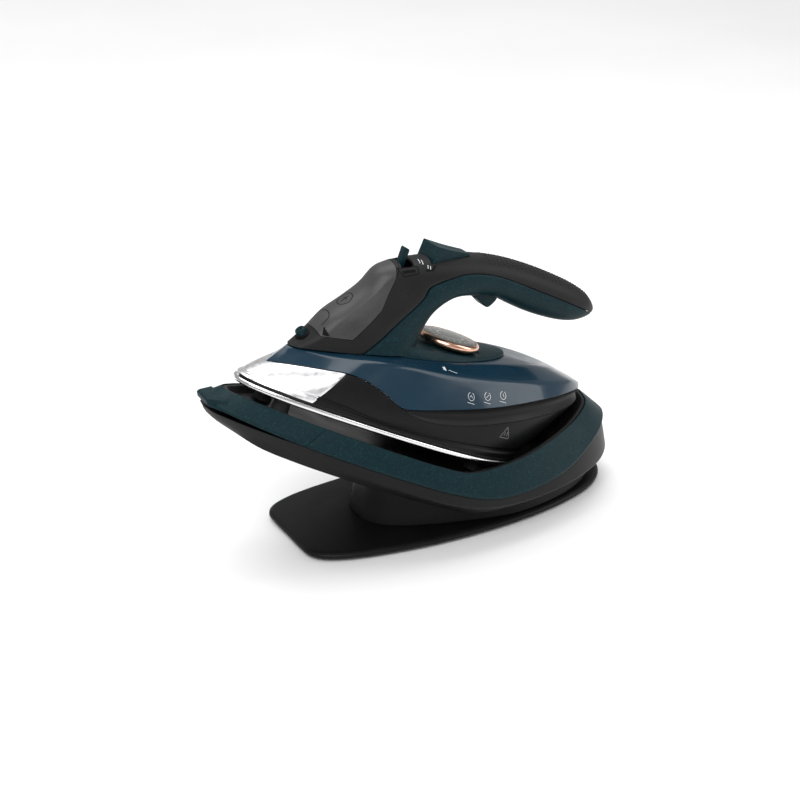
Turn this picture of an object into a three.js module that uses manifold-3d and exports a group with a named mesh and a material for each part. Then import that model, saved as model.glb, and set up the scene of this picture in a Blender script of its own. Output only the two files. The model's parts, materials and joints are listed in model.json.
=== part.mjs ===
// Cordless steam iron resting on its inclined charging base.
// Millimetres, +Z up, nose of the iron towards -X, mid-plane at y = 0.
import * as THREE from 'three';
import { mergeGeometries, mergeVertices } from 'three/addons/utils/BufferGeometryUtils.js';
import Module from 'manifold-3d';

const wasm = await Module();
wasm.setup();

// ---------------------------------------------------------------- driving dimensions
const GAP = 0.35;               // clearance between pieces that touch in the real object
const PITCH = 25;               // degrees the resting iron points nose up
const TIP_X = -137.6;           // sole tip, from the middle of the whole object
const TIP_Z = 131.5;            // sole tip, above the surface the base stands on
const WALL = 2.4;               // moulded wall thickness

const PLATE_BOTTOM = 1.6;       // foot plate underside, held up by the rubber feet
const PLATE_TOP = 7;
const PLATE_BEVEL = 1.6;
const FOOT_RADIUS = 8;
const PEDESTAL_LEAN = 9;        // how far the pedestal wall leans in over its full height
const PEDESTAL_TOP = 78;        // height the leaning wall is drawn to before it is cut

const SOLE_THICKNESS = 3.8;
const SKIRT_BOTTOM = 6;         // the dark gap over the sole ends here
const HEAT_BLOCK_TOP = 17;
const HANDLE_WALL = 2.6;

const DIAL_R = 150;             // dial centre, along the sole from its tip
const DIAL_S = 70.3;            // and above the sole
const DIAL_RADIUS = 23.5;
const DIAL_TILT = 5;            // degrees the dial leans forward
const VALVE_R = 98;             // steam valve rod, which the steam lever turns
const PUMP_R = 107;             // spray pump under the thumb button
const FILL_R = 60;              // filling port
const HEEL_LEAN = 34;           // degrees the heel and the connector lean back
const HEEL_MIDDLE = [248, 29];  // middle of the contact window, [along sole, above sole]
const CONNECTOR_MIDDLE = [262, 25];
const FLOOR_SHIFT = -19.4;      // from the foot plate's datum to the middle of the object

const STEPS = 20;               // points on each side of an outline
const ROUND = 20;               // sides of a round piece

// Outlines run from the nose to the tail of one side: [along sole, half width, above sole].
const SOLE_OUTLINE = [[-4, 0], [-2.5, 7], [3, 14.5], [26, 29], [56, 40], [87, 48.5], [120, 56],
  [152, 60], [182, 58.5], [208, 49], [226, 31], [234, 12], [235.5, 0]];
const SKIRT_TOP = [[13.5, 0, 18.5], [17.5, 5, 20.5], [25, 13, 23.5], [36, 21, 26.8], [47, 29, 30],
  [56, 35.5, 32.5], [69, 41, 32.5], [84, 47.5, 28.5], [99, 53.3, 22.5], [110, 56, 20], [123, 57.5, 19.5],
  [151, 58, 23.5], [199, 53, 36.5], [240, 40, 49], [264, 24, 57], [277, 0, 61.5]];
const TANK_EDGE = [[14, 0, 19], [18, 5, 21], [25.5, 13, 24], [36.5, 21, 27.3], [47.5, 29, 30.5],
  [56, 35.5, 33], [69, 41, 33], [84, 47.5, 29], [99, 53, 23.2], [110, 55.5, 25.5], [124, 56.5, 29],
  [169, 56, 41], [218, 46, 55.5], [250, 30, 62.5], [270, 14, 65.2], [279.5, 0, 65.2]];
const TANK_CREASE = [[22.8, 0, 31], [25.3, 4, 31.8], [31.5, 9, 33.3], [43, 16.5, 36.2], [54, 22.7, 39.2],
  [71, 29.7, 44], [94, 37.2, 48.8], [142, 44, 53.5], [168, 45.5, 57.8], [195, 43, 62.6], [224, 36, 67],
  [252, 23, 69.6], [271, 9, 68.7], [281, 0, 66.4]];
const TANK_CROWN = [[23.9, 0, 32.7], [26.8, 4.3, 33.4], [33, 8.6, 34.9], [46, 15.2, 38.2], [72, 25, 45.7],
  [100, 31, 51.5], [142, 33, 58], [168, 31, 64], [190, 27.5, 69.2], [214, 21, 72.6], [236, 11, 73.6],
  [246, 0, 73.4]];
const TANK_SEAM = [[24.8, 0, 33.5], [28.4, 4.3, 34.1], [44.5, 13.2, 38.1], [73, 22.8, 46], [105, 27.3, 53.3],
  [150, 26, 61.5], [173, 20, 66.6], [190, 11.5, 70.2], [199, 0, 71.6]];
const HOUSING_BASE = [[92, 25], [105, 28], [130, 29.5], [156, 28.3], [176, 23.7], [189, 16.5], [198, 9],
  [203, 0]];
const HEAT_OUTLINE = [[24, 0], [27, 8], [42, 20], [70, 31], [105, 40], [150, 46], [190, 43],
  [211, 31], [221, 12], [222, 0]];
const SHIELD_OUTLINE = [[40, 0], [43, 12], [70, 31], [105, 42], [150, 49], [190, 46], [213, 33],
  [223, 12], [224, 0]];
const RIM_INNER = [[-10, 0, -6.5], [-8, 6, -6.5], [1, 13.5, -6.5], [12, 21, -6.5], [37, 34.5, -6.5],
  [67, 48, -6.5], [106, 61.5, -6.5], [137, 68.5, -6.5], [162, 71, -5], [184, 70, 4], [210, 65, 18],
  [243, 51, 39], [262, 37, 51], [275, 22, 58.5], [283, 0, 61.5]];
const RIM_OUTER = [[-20, 0, -16.5], [-17.5, 12, -16.8], [-8, 21, -17.2], [13, 32, -18.6], [41, 44.5, -19.8],
  [85, 60, -20.5], [121, 69.5, -20.5], [152, 75.5, -20], [183, 77, -17], [210, 74.5, -8], [250, 63, 14],
  [277, 46, 38], [291, 31, 48], [301, 14, 54], [304, 0, 55]];
const SHELL_CREASE = [[-18.5, 0, -24.5], [-13.5, 9, -26.5], [0, 19, -28.5], [16, 27, -29.5],
  [44, 39, -31], [85, 54, -32], [121, 65, -32], [152, 72, -31.5], [183, 74, -28], [215, 73, -17],
  [250, 65.5, -1], [280, 52, 13], [302, 35, 23], [315, 17, 29.5], [320, 0, 32]];
const SHELL_BOTTOM = [[-15, 0, -27], [-10, 7, -29], [2, 14.5, -32], [20, 25, -36], [45, 35, -37.5],
  [80, 46.5, -38], [110, 55, -38], [145, 61, -38], [175, 63, -37.5], [193, 62, -36], [218, 58, -26],
  [250, 51, -11], [280, 39, 3], [300, 25.5, 12.4], [311, 11, 18], [314, 0, 19.2]];
const TRAY_LEVEL = -12;
const TRAY_FLOOR = [[-5.5, 0], [-3.5, 5.5], [4, 12], [15, 19.5], [38, 32], [68, 45], [107, 58.5],
  [138, 65.5], [165, 67.5], [190, 65], [213, 57, -11], [231, 42, -8], [241, 22, -6], [244, 0, -5.5]];
const PLATE_OUTLINE = [[-86, 0], [-86, 22], [-85, 34], [-79, 43], [-61, 52], [-17, 60.5], [27, 63],
  [77, 60], [119, 51.5], [152, 38.5], [170, 23], [178, 8], [179, 0]];
const PEDESTAL_OUTLINE = [[-30, 0], [-29, 13], [-21, 25.5], [-7, 34.5], [13, 42.5], [37, 49], [54, 53],
  [76, 55], [102, 51.5], [132, 41.5], [156, 26], [167, 8], [168, 0]];

// Handle sections: front or top point, rear or bottom point, half width, the share of the
// section's depth that belongs to the upper shell, and its form: 0 pointed foot over the tank's
// nose, 1 column with a flat front facet, 2 oval arm. Points are [along sole, above sole].
const HANDLE = [
  { front: [25.3, 34.3], back: [117.5, 58.4], half: 27, split: 0.5, form: 0 },
  { front: [34.3, 46], back: [118, 70], half: 24.5, split: 0.55, form: 0.7 },
  { front: [43, 62], back: [121, 84], half: 23, split: 0.6, form: 1 },
  { front: [55, 77], back: [127, 95], half: 22, split: 0.6, form: 1 },
  { front: [63.3, 89.5], back: [134.5, 102], half: 21, split: 0.56, form: 1 },
  { front: [68.3, 102.5], back: [142, 105], half: 20, split: 0.5, form: 1.15 },
  { front: [76.5, 110], back: [152, 107.5], half: 19.3, split: 0.46, form: 1.5 },
  { front: [93, 118.3], back: [160, 109.5], half: 18.7, split: 0.4, form: 1.85 },
  { front: [114.5, 127], back: [167, 110], half: 18.2, split: 0.33, form: 2 },
  { front: [138, 134.2], back: [175, 109.6], half: 17.8, split: 0.33, form: 2 },
  { front: [163, 138.6], back: [185, 108.4], half: 17.5, split: 0.38, form: 2 },
  { front: [188, 140], back: [200, 107.2], half: 17.3, split: 0.42, form: 2 },
  { front: [214, 139.3], back: [218, 107.2], half: 17, split: 0.44, form: 2 },
  { front: [236, 137.2], back: [234, 108.6], half: 16, split: 0.46, form: 2 },
  { front: [250, 133.6], back: [245, 111.4], half: 13.5, split: 0.48, form: 2 },
  { front: [259, 128], back: [254, 116.4], half: 9, split: 0.5, form: 2 },
];
// Half profiles of the three forms, front to back: [share of the depth, share of the half width].
const FOOT_FORM = [[0, 0], [0.02, 0.19], [0.09, 0.36], [0.2, 0.53], [0.36, 0.73], [0.55, 0.9],
  [0.78, 1], [0.95, 0.72], [1, 0]];
const COLUMN_FORM = [[0, 0], [0.01, 0.26], [0.045, 0.46], [0.18, 0.66], [0.36, 0.88], [0.55, 1],
  [0.8, 0.95], [0.96, 0.6], [1, 0]];
const ARM_BLUNTNESS = 0.86;     // exponent of the oval: 1 is an ellipse, less is boxier

// ---------------------------------------------------------------- colours
const paint = (color, roughness, metalness = 0) =>
  new THREE.MeshStandardMaterial({ color, roughness, metalness });
const teal = () => paint(0x05303a, 0.45);
const black = () => paint(0x111213, 0.5);
const darkGrey = () => paint(0x2d2d2e, 0.6);
const doorGrey = () => paint(0x565656, 0.55);
const tankBlue = () => paint(0x1c3b50, 0.12);
const steel = () => paint(0xd9dadb, 0.25, 1);
const chrome = () => paint(0xf2f3f4, 0.08, 1);
const copper = () => paint(0xe0a585, 0.25, 1);
const brass = () => paint(0xc9a24a, 0.3, 1);
const castAlloy = () => paint(0x8f9194, 0.6, 1);
const rubber = () => paint(0x1a1a1a, 0.9);
const clearPlastic = () => paint(0xd8dde0, 0.3);

// ---------------------------------------------------------------- closed surfaces
const vec = (x, y, z) => new THREE.Vector3(x, y, z);

// Closed ring through a half outline and its mirror image: near side out, far side back.
function ring(outline, level = 0) {
  const points = outline.map(([along, half, above = level]) => vec(along, -half, above));
  const side = new THREE.CatmullRomCurve3(points, false, 'centripetal').getSpacedPoints(STEPS);
  side[0].y = 0;
  side[STEPS].y = 0;
  const farSide = side.slice(1, STEPS).reverse().map((p) => vec(p.x, -p.y, p.z));
  return [...side, ...farSide];
}

// The same ring drawn in by a distance in plan, and raised by a number or a rule.
function offset(points, inset, rise = 0) {
  const count = points.length;
  return points.map((p, i) => {
    const before = points[(i + count - 1) % count];
    const after = points[(i + 1) % count];
    const inward = vec(before.y - after.y, after.x - before.x, 0).normalize();
    const lift = typeof rise === 'function' ? rise(p) : rise;
    return vec(p.x + inward.x * inset, p.y + inward.y * inset, p.z + lift);
  });
}

// Triangles that close a ring by rungs between its two sides.
function rungs(count, first, pairShift, flip) {
  const triangles = [];
  const mate = (i) => (count - pairShift - i + count) % count;
  const last = Math.floor((count - pairShift) / 2);
  for (let i = 0; i < last; i += 1) {
    const quad = [i, i + 1, mate(i + 1), mate(i)];
    for (const [a, b, c] of [[quad[0], quad[1], quad[2]], [quad[0], quad[2], quad[3]]]) {
      if (a === b || b === c || a === c) continue;
      triangles.push(...(flip ? [first + a, first + c, first + b] : [first + a, first + b, first + c]));
    }
  }
  return triangles;
}

// Signed volume, used to turn every surface outwards.
function volume(positions, index) {
  let total = 0;
  const at = (i) => vec(positions[3 * i], positions[3 * i + 1], positions[3 * i + 2]);
  for (let i = 0; i < index.length; i += 3) {
    total += at(index[i]).dot(at(index[i + 1]).cross(at(index[i + 2]))) / 6;
  }
  return total;
}

// Closed body through a list of rings with equal counts. A looped body joins its last ring to
// its first; any other is closed at both ends by rungs.
function skin(rings, { looped = false, pairShift = 0 } = {}) {
  const count = rings[0].length;
  const positions = rings.flat().flatMap((p) => [p.x, p.y, p.z]);
  const index = [];
  const spans = looped ? rings.length : rings.length - 1;
  for (let j = 0; j < spans; j += 1) {
    const low = j * count;
    const high = ((j + 1) % rings.length) * count;
    for (let i = 0; i < count; i += 1) {
      const next = (i + 1) % count;
      index.push(low + i, low + next, high + next, low + i, high + next, high + i);
    }
  }
  if (!looped) {
    index.push(...rungs(count, 0, pairShift, true));
    index.push(...rungs(count, (rings.length - 1) * count, pairShift, false));
  }
  if (volume(positions, index) < 0) index.reverse();
  const geometry = new THREE.BufferGeometry();
  geometry.setAttribute('position', new THREE.Float32BufferAttribute(positions, 3));
  geometry.setIndex(index);
  return geometry;
}

// ---------------------------------------------------------------- joins and cuts
function solid(geometry) {
  const bare = geometry.clone();
  bare.deleteAttribute('normal');
  bare.deleteAttribute('uv');
  const merged = mergeVertices(bare, 1e-4);
  return new wasm.Manifold(new wasm.Mesh({
    numProp: 3,
    vertProperties: new Float32Array(merged.attributes.position.array),
    triVerts: new Uint32Array(merged.index.array),
  }));
}

function geometryOf(body) {
  const mesh = body.getMesh();
  const geometry = new THREE.BufferGeometry();
  geometry.setAttribute('position', new THREE.Float32BufferAttribute(mesh.vertProperties, 3));
  geometry.setIndex(new THREE.Uint32BufferAttribute(mesh.triVerts, 1));
  return geometry;
}

const cut = (geometry, ...tools) =>
  geometryOf(tools.reduce((body, tool) => body.subtract(solid(tool)), solid(geometry)));
const keep = (geometry, tool) => geometryOf(solid(geometry).intersect(solid(tool)));
const join = (...parts) =>
  geometryOf(parts.slice(1).reduce((body, part) => body.add(solid(part)), solid(parts[0])));
// The largest of the closed surfaces a cut leaves, without slivers.
const largest = (geometry) => geometryOf(solid(geometry).decompose()
  .reduce((best, piece) => (piece.volume() > best.volume() ? piece : best)));

// ---------------------------------------------------------------- simple shapes
const box = (low, high) => new THREE.BoxGeometry(high[0] - low[0], high[1] - low[1], high[2] - low[2])
  .translate((low[0] + high[0]) / 2, (low[1] + high[1]) / 2, (low[2] + high[2]) / 2);

// Round bar from one point to another.
function rod(from, to, radius, sides = ROUND, endRadius = radius) {
  const start = vec(...from);
  const end = vec(...to);
  const length = start.distanceTo(end);
  const bar = new THREE.CylinderGeometry(endRadius, radius, length, sides);
  const turn = new THREE.Quaternion().setFromUnitVectors(vec(0, 1, 0), end.clone().sub(start).normalize());
  const middle = start.clone().add(end).multiplyScalar(0.5);
  return bar.applyQuaternion(turn).translate(middle.x, middle.y, middle.z);
}

// Slab whose outline is given in the mid-plane as [along, above] points.
function slab(outline, half, middle = 0) {
  const shape = new THREE.Shape(outline.map(([along, above]) => new THREE.Vector2(along, above)));
  const slabShape = new THREE.ExtrudeGeometry(shape, { depth: 2 * half, bevelEnabled: false });
  return slabShape.rotateX(Math.PI / 2).translate(0, half + middle, 0);
}

// Solid of revolution about +Z through [radius, height] points, first and last on the axis.
const turned = (profile) => new THREE.LatheGeometry(
  profile.map(([radius, height]) => new THREE.Vector2(radius, height)), ROUND).rotateX(Math.PI / 2);

// Round tube along a smooth path.
function pipe(points, radius, sides, steps) {
  const path = new THREE.CatmullRomCurve3(points.map((p) => vec(...p)));
  const circle = new THREE.Shape();
  circle.absarc(0, 0, radius, 0, 2 * Math.PI);
  return new THREE.ExtrudeGeometry(circle, { extrudePath: path, steps, curveSegments: sides });
}

// ---------------------------------------------------------------- scene graph
const object = new THREE.Group();
const iron = new THREE.Group();
iron.position.set(TIP_X, 0, TIP_Z);
iron.rotation.y = THREE.MathUtils.degToRad(PITCH);
object.add(iron);

function add(parent, name, geometry, material) {
  const mesh = new THREE.Mesh(geometry, material);
  mesh.name = name;
  parent.add(mesh);
  return mesh;
}

// ---------------------------------------------------------------- handle sections
const HANDLE_POINTS = 15;       // points across one shell's section

const ARM_FORM = COLUMN_FORM.map((_, i) => {
  const angle = Math.PI * i / (COLUMN_FORM.length - 1);
  const depth = Math.sign(Math.cos(angle)) * Math.abs(Math.cos(angle)) ** ARM_BLUNTNESS;
  return [(1 - depth) / 2, Math.abs(Math.sin(angle)) ** ARM_BLUNTNESS];
});
const FORMS = [FOOT_FORM, COLUMN_FORM, ARM_FORM].map((form) =>
  new THREE.CatmullRomCurve3(form.map(([depth, half]) => vec(depth, half, 0))));

// Half profile of a section: share 0 is its front, 1 is its back.
function profileAt(section, share) {
  const lower = Math.min(Math.floor(section.form), FORMS.length - 2);
  const from = FORMS[lower].getPoint(share);
  return from.lerp(FORMS[lower + 1].getPoint(share), section.form - lower);
}

// Point of a handle section. The place runs from 0 at the front to 1 at the back along the near
// side, and on to 2 along the far side.
function handlePoint(section, place, thinner) {
  const around = ((place % 2) + 2) % 2;
  const profile = profileAt(section, around <= 1 ? around : 2 - around);
  const front = new THREE.Vector2(...section.front);
  const back = new THREE.Vector2(...section.back);
  const middle = front.clone().add(back).multiplyScalar(0.5);
  const towardsBack = back.clone().sub(front);
  const depth = towardsBack.length() / 2;
  towardsBack.normalize();
  const along = (2 * profile.x - 1) * (depth - thinner);
  const across = profile.y * (section.half - thinner) * (around <= 1 ? -1 : 1);
  return vec(middle.x + towardsBack.x * along, across, middle.y + towardsBack.y * along);
}

// Place at which a section has reached its split between the upper and the lower shell.
function splitPlace(section) {
  let low = 0;
  let high = 1;
  for (let step = 0; step < 30; step += 1) {
    const middle = (low + high) / 2;
    if (profileAt(section, middle).x < section.split) low = middle;
    else high = middle;
  }
  return low;
}

// Thin-walled half of the handle between two shares of each section.
function handleShell(sections, upper) {
  const rings = sections.map((section, k) => {
    const edge = splitPlace(section);
    const seam = 0.2 * GAP / section.half;
    const from = upper ? -edge + seam : edge + seam;
    const to = upper ? edge - seam : 2 - edge - seam;
    const closing = k >= sections.length - 1;
    const wall = closing ? section.half * 0.6 : HANDLE_WALL;
    const places = Array.from({ length: HANDLE_POINTS }, (_, i) =>
      from + (to - from) * i / (HANDLE_POINTS - 1));
    const outer = places.map((place) => handlePoint(section, place, 0));
    const inner = places.map((place) => handlePoint(section, place, wall)).reverse();
    return [...outer, ...inner];
  });
  return skin(rings, { pairShift: 1 });
}

// Full section of the column, grown by a distance, used to trim what stands round it.
function columnBlock(grow) {
  const places = Array.from({ length: 48 }, (_, i) => i / 24);
  return skin(HANDLE.slice(0, 6).map((section) =>
    places.map((place) => handlePoint(section, place, -grow))));
}

// ---------------------------------------------------------------- soleplate and heater
const soleRing = ring(SOLE_OUTLINE);

function soleplate() {
  const plate = skin([offset(soleRing, 1.2), offset(soleRing, 0, 1), offset(soleRing, 0, 3),
    offset(soleRing, 0.8, SOLE_THICKNESS)]);
  const vents = [];
  for (const [along, half] of [[14, 5], [30, 15], [48, 24], [68, 32], [90, 39], [112, 44]]) {
    for (const side of [-1, 1]) {
      vents.push(rod([along, side * half, -1], [along, side * half, SOLE_THICKNESS + 1], 1.6, 6));
    }
  }
  return cut(plate, ...vents);
}

const ELEMENT_PATH = [[224, -20, 14], [205, -30, 14], [160, -33, 14], [110, -27, 14], [70, -18, 14],
  [48, 0, 14], [70, 18, 14], [110, 27, 14], [160, 33, 14], [205, 30, 14], [224, 20, 14]];
const ELEMENT_RADIUS = 3.6;

function heatBlock() {
  const outline = ring(HEAT_OUTLINE);
  const block = skin([offset(outline, 0, SOLE_THICKNESS + GAP), offset(outline, 0, HEAT_BLOCK_TOP - 2),
    offset(outline, 2, HEAT_BLOCK_TOP)]);
  return cut(block, pipe(ELEMENT_PATH, ELEMENT_RADIUS + GAP, 5, 40));
}

add(iron, 'soleplate', soleplate(), steel());
add(iron, 'sole_gasket', skin([offset(soleRing, 3, SOLE_THICKNESS + GAP),
  offset(soleRing, 3, SKIRT_BOTTOM - GAP), offset(soleRing, 6.5, SKIRT_BOTTOM - GAP),
  offset(soleRing, 6.5, SOLE_THICKNESS + GAP)],
{ looped: true }), rubber());
add(iron, 'heat_block', heatBlock(), castAlloy());
add(iron, 'heating_element', pipe(ELEMENT_PATH, ELEMENT_RADIUS, 5, 40), steel());
add(iron, 'chamber_cover', box([74, -13, HEAT_BLOCK_TOP + GAP], [205, 13, HEAT_BLOCK_TOP + 2.2]), steel());
add(iron, 'thermostat', box([138, -12, HEAT_BLOCK_TOP + 2.6], [162, 12, 31]), clearPlastic());

function heatShield() {
  const outline = ring(SHIELD_OUTLINE);
  const plate = skin([offset(outline, 0, 20.8), offset(outline, 0, 22.3)]);
  return cut(plate, box([137, -13, 18], [163, 13, 25]), rod([VALVE_R, 0, 18], [VALVE_R, 0, 25], 3.4));
}
add(iron, 'heat_shield', heatShield(), steel());

// ---------------------------------------------------------------- skirt and chrome nose
const skirtLip = offset(soleRing, 1.4, SKIRT_BOTTOM);
const skirtTop = ring(SKIRT_TOP);
const skirtRing = skin([skirtLip, skirtTop, offset(skirtTop, WALL, -0.3), offset(skirtLip, WALL)],
  { looped: true });
// The diagonal seam between chrome and skirt leans back from the lip to the tank edge.
const CHROME_SEAM = [[34.5, 0], [60.5, 40]];
const seamAhead = (shift) => slab([[-40, -5], [CHROME_SEAM[0][0] + shift, CHROME_SEAM[0][1] - 5],
  [CHROME_SEAM[1][0] + shift, CHROME_SEAM[1][1]], [-40, 40]], 90);
const leaning = (geometry, [along, above]) =>
  geometry.rotateY(THREE.MathUtils.degToRad(HEEL_LEAN)).translate(along, 0, above);
const heelWindow = leaning(box([-9, -17, -9], [9, 17, 9]), HEEL_MIDDLE);

add(iron, 'nose_cover', keep(skirtRing, seamAhead(0)), chrome());
add(iron, 'skirt', cut(skirtRing, seamAhead(GAP), heelWindow), black());
add(iron, 'heel_socket', leaning(box([-5, -16.5, -8.6], [1.6, 16.5, 8.6]), HEEL_MIDDLE), black());
for (const [i, side] of [-10, 0, 10].entries()) {
  add(iron, `heel_contact_${i + 1}`,
    leaning(box([1.95, side - 2.5, -6], [2.95, side + 2.5, 6]), HEEL_MIDDLE), brass());
}

// ---------------------------------------------------------------- band and tank
const tankEdge = ring(TANK_EDGE);
const tankCrease = ring(TANK_CREASE);
const tankCrown = ring(TANK_CROWN);
const tankSeam = ring(TANK_SEAM);

// The tank's outside, raised by a distance, which trims what stands on it.
const tankBlock = (rise) => skin([offset(tankEdge, 0, -8), offset(tankEdge, 0, rise),
  offset(tankCrease, 0, rise), offset(tankCrown, 0, rise), offset(tankSeam, 0, rise)]);

// Dark band under the tank: a strip round the tail whose ends taper away on both sides.
function band() {
  const lower = offset(skirtTop, 0, GAP);
  const sections = [];
  const start = Math.floor(STEPS * 0.38);
  for (let i = start; i <= 2 * STEPS - start; i += 1) {
    const low = lower[i];
    const high = tankEdge[i].clone().setZ(Math.max(tankEdge[i].z - GAP, low.z + 0.3));
    const inner = offset(lower, WALL)[i];
    const innerHigh = offset(tankEdge, WALL)[i].setZ(high.z);
    sections.push([low, high, innerHigh, inner]);
  }
  return skin(sections, { pairShift: 1 });
}

const dialAxis = vec(-Math.sin(THREE.MathUtils.degToRad(DIAL_TILT)), 0,
  Math.cos(THREE.MathUtils.degToRad(DIAL_TILT)));
const onDialAxis = (height) => [DIAL_R + dialAxis.x * height, 0, DIAL_S + dialAxis.z * height];
const shaftHole = rod(onDialAxis(-60), onDialAxis(10), 4);
const valveHole = rod([VALVE_R, 0, 10], [VALVE_R, 0, 80], 3.2, 12);
const fillHole = rod([FILL_R, 0, 20], [FILL_R, 0, 90], 9 + GAP);

const tank = skin([
  offset(tankSeam, WALL, -WALL), offset(tankCrown, WALL, -WALL), offset(tankCrease, WALL, -WALL / 2),
  offset(tankEdge, WALL), tankEdge, tankCrease, tankCrown, tankSeam]);
add(iron, 'water_tank', cut(tank, shaftHole, valveHole, fillHole), tankBlue());
const tankInside = skin([offset(tankEdge, WALL + 1.2, -8), offset(tankEdge, WALL + 1.2),
  offset(tankCrease, WALL + 1.2, -WALL - 0.6), offset(tankCrown, WALL + 1.2, -WALL - 0.8),
  offset(tankSeam, WALL + 1.2, -WALL - 0.8)]);
const floorRing = offset(tankEdge, 5, 1.5);
add(iron, 'tank_band', cut(band(), tank), black());
add(iron, 'tank_floor', cut(keep(skin([floorRing, offset(floorRing, 0, 1.8)]), tankInside),
  shaftHole, valveHole), tankBlue());

// ---------------------------------------------------------------- handle, column and dial housing
const DOOR_OUTLINE = [[20, 68], [36, 52.5], [40, 48.5], [61, 53.5], [74.5, 79], [78.5, 101], [78.5, 140],
  [20, 140]];
const doorBlock = (grow) => slab(DOOR_OUTLINE.map(([along, above], i) =>
  [along + (i > 2 ? grow : -grow), above - grow]), 60);
const nozzleAxis = vec(-0.8, 0, 0.6);
const NOZZLE_ROOT = [32.5, 44.5];
const NOZZLE_RADIUS = 4;
const onNozzle = (distance) => [NOZZLE_ROOT[0] + nozzleAxis.x * distance, 0,
  NOZZLE_ROOT[1] + nozzleAxis.z * distance];
const buttonSection = (along, half, low, high) =>
  [vec(along, -half, low), vec(along, half, low), vec(along, half, high), vec(along, -half, high)];
const buttonWell = skin([buttonSection(103.3, 12, 112, 140), buttonSection(135, 6.8, 124, 141)],
  { pairShift: 1 });
const leverSlot = box([82, -11, 104], [91, 11, 125]);

const upperShell = handleShell(HANDLE, true);
const nozzleHole = rod(onNozzle(-8), onNozzle(8), NOZZLE_RADIUS + GAP);
add(iron, 'handle_shell', cut(upperShell, tankBlock(GAP), doorBlock(GAP), nozzleHole, buttonWell,
  leverSlot), darkGrey());
add(iron, 'fill_door', keep(upperShell, doorBlock(0)), doorGrey());

// Dial housing: a low boss that runs back from the column and ends in a rounded tip.
function dialHousing() {
  const onTank = (p) => 50 + (p.x - 100) * 0.14;
  const foot = ring(HOUSING_BASE, 0);
  const tailRise = (p) => Math.max(0, p.x - DIAL_R - 8) * 0.1;
  const slope = Math.tan(THREE.MathUtils.degToRad(DIAL_TILT));
  const top = (p) => DIAL_S - 5.5 + (p.x - DIAL_R) * slope + tailRise(p);
  const inside = offset(foot, WALL);
  return skin([offset(inside, 4, (p) => top(p) - WALL), offset(inside, 0, onTank),
    offset(foot, 0, onTank), offset(foot, 1, (p) => (onTank(p) + top(p)) / 2), offset(foot, 4.2, top)]);
}
const dialWell = rod(onDialAxis(-4.6), onDialAxis(12), DIAL_RADIUS + 0.8);
const triggerWell = box([144.5, -7.3, 96], [176, 7.3, 117]);
const housing = cut(dialHousing(), dialWell, shaftHole);
const underside = join(handleShell(HANDLE, false), cut(housing, columnBlock(-1.8)));
add(iron, 'handle_underside',
  largest(cut(underside, tankBlock(GAP), dialWell, triggerWell, valveHole)), teal());

// ---------------------------------------------------------------- dial
const dialPlace = (geometry) => geometry.rotateY(-THREE.MathUtils.degToRad(DIAL_TILT))
  .translate(DIAL_R, 0, DIAL_S);
add(iron, 'dial_knob', dialPlace(turned([[0, -4], [DIAL_RADIUS - 5, -4], [DIAL_RADIUS - 3.2, -1],
  [DIAL_RADIUS - 3.2, 1.6], [DIAL_RADIUS - 5, 2.4], [0, 2.8]])), darkGrey());
add(iron, 'dial_ring', dialPlace(new THREE.LatheGeometry([[DIAL_RADIUS - 2.8, -3.4],
  [DIAL_RADIUS - 1.2, -3.4], [DIAL_RADIUS, -1.5], [DIAL_RADIUS - 0.4, 0.6],
  [DIAL_RADIUS - 2.8, 1.8], [DIAL_RADIUS - 2.8, -3.4]]
  .map(([radius, height]) => new THREE.Vector2(radius, height)), 28).rotateX(Math.PI / 2)), copper());
add(iron, 'dial_shaft', rod(onDialAxis(-39), onDialAxis(-4.4), 3, 12), steel());

// ---------------------------------------------------------------- controls
add(iron, 'spray_nozzle', cut(rod(onNozzle(-7), onNozzle(4), NOZZLE_RADIUS, ROUND, 3.4),
  rod(onNozzle(0), onNozzle(6), 1.2, 8)), teal());

const thumbButton = skin([buttonSection(104, 11.4, 118, 132.8), buttonSection(134.4, 6.2, 129, 134.8)],
  { pairShift: 1 });
add(iron, 'thumb_button', thumbButton, teal());
add(iron, 'pump_plunger', rod([PUMP_R, 0, 100], [PUMP_R, 0, 117.6], 2.2, 12), clearPlastic());
add(iron, 'spray_pump', cut(rod([PUMP_R, 0, 68], [PUMP_R, 0, 104.4], 4.6),
  rod([PUMP_R, 0, 95], [PUMP_R, 0, 106], 3, 12)), clearPlastic());
add(iron, 'spray_pipe', pipe([[PUMP_R - 4.6, 8, 70], [88, 11, 64], [62, 12, 60], [50, 8, 55],
  [43.5, 3, 46.5]],
  1.8, 3, 24), rubber());

const leverTab = slab([[84, 106.5], [88.4, 106.5], [87.6, 122.6], [83.8, 124]], 3.2);
const leverArm = box([84, -3.2, 105], [VALVE_R + 4, 3.2, 108]);
add(iron, 'steam_lever', join(leverTab, leverArm), teal());
add(iron, 'valve_rod', rod([VALVE_R, 0, HEAT_BLOCK_TOP + 2.8], [VALVE_R, 0, 104.6], 2.6, 12), steel());

const TRIGGER_PIVOT = [151.5, 112.5];
const trigger = slab([[146, 109.5], [151, 106], [158, 104.4], [163.5, 102], [168.5, 102.4], [172, 109],
  [172, 114.5], [146.5, 115.5]], 6.6);
const triggerBore = rod([TRIGGER_PIVOT[0], -9, TRIGGER_PIVOT[1]],
  [TRIGGER_PIVOT[0], 9, TRIGGER_PIVOT[1]], 1.8, 12);
add(iron, 'trigger', cut(trigger, triggerBore), teal());
add(iron, 'trigger_pin', rod([TRIGGER_PIVOT[0], -8.6, TRIGGER_PIVOT[1]],
  [TRIGGER_PIVOT[0], 8.6, TRIGGER_PIVOT[1]], 1.4, 12), steel());
add(iron, 'trigger_spring', rod([167, 0, 115.2], [167, 0, 128], 2.6, 10), steel());

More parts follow.
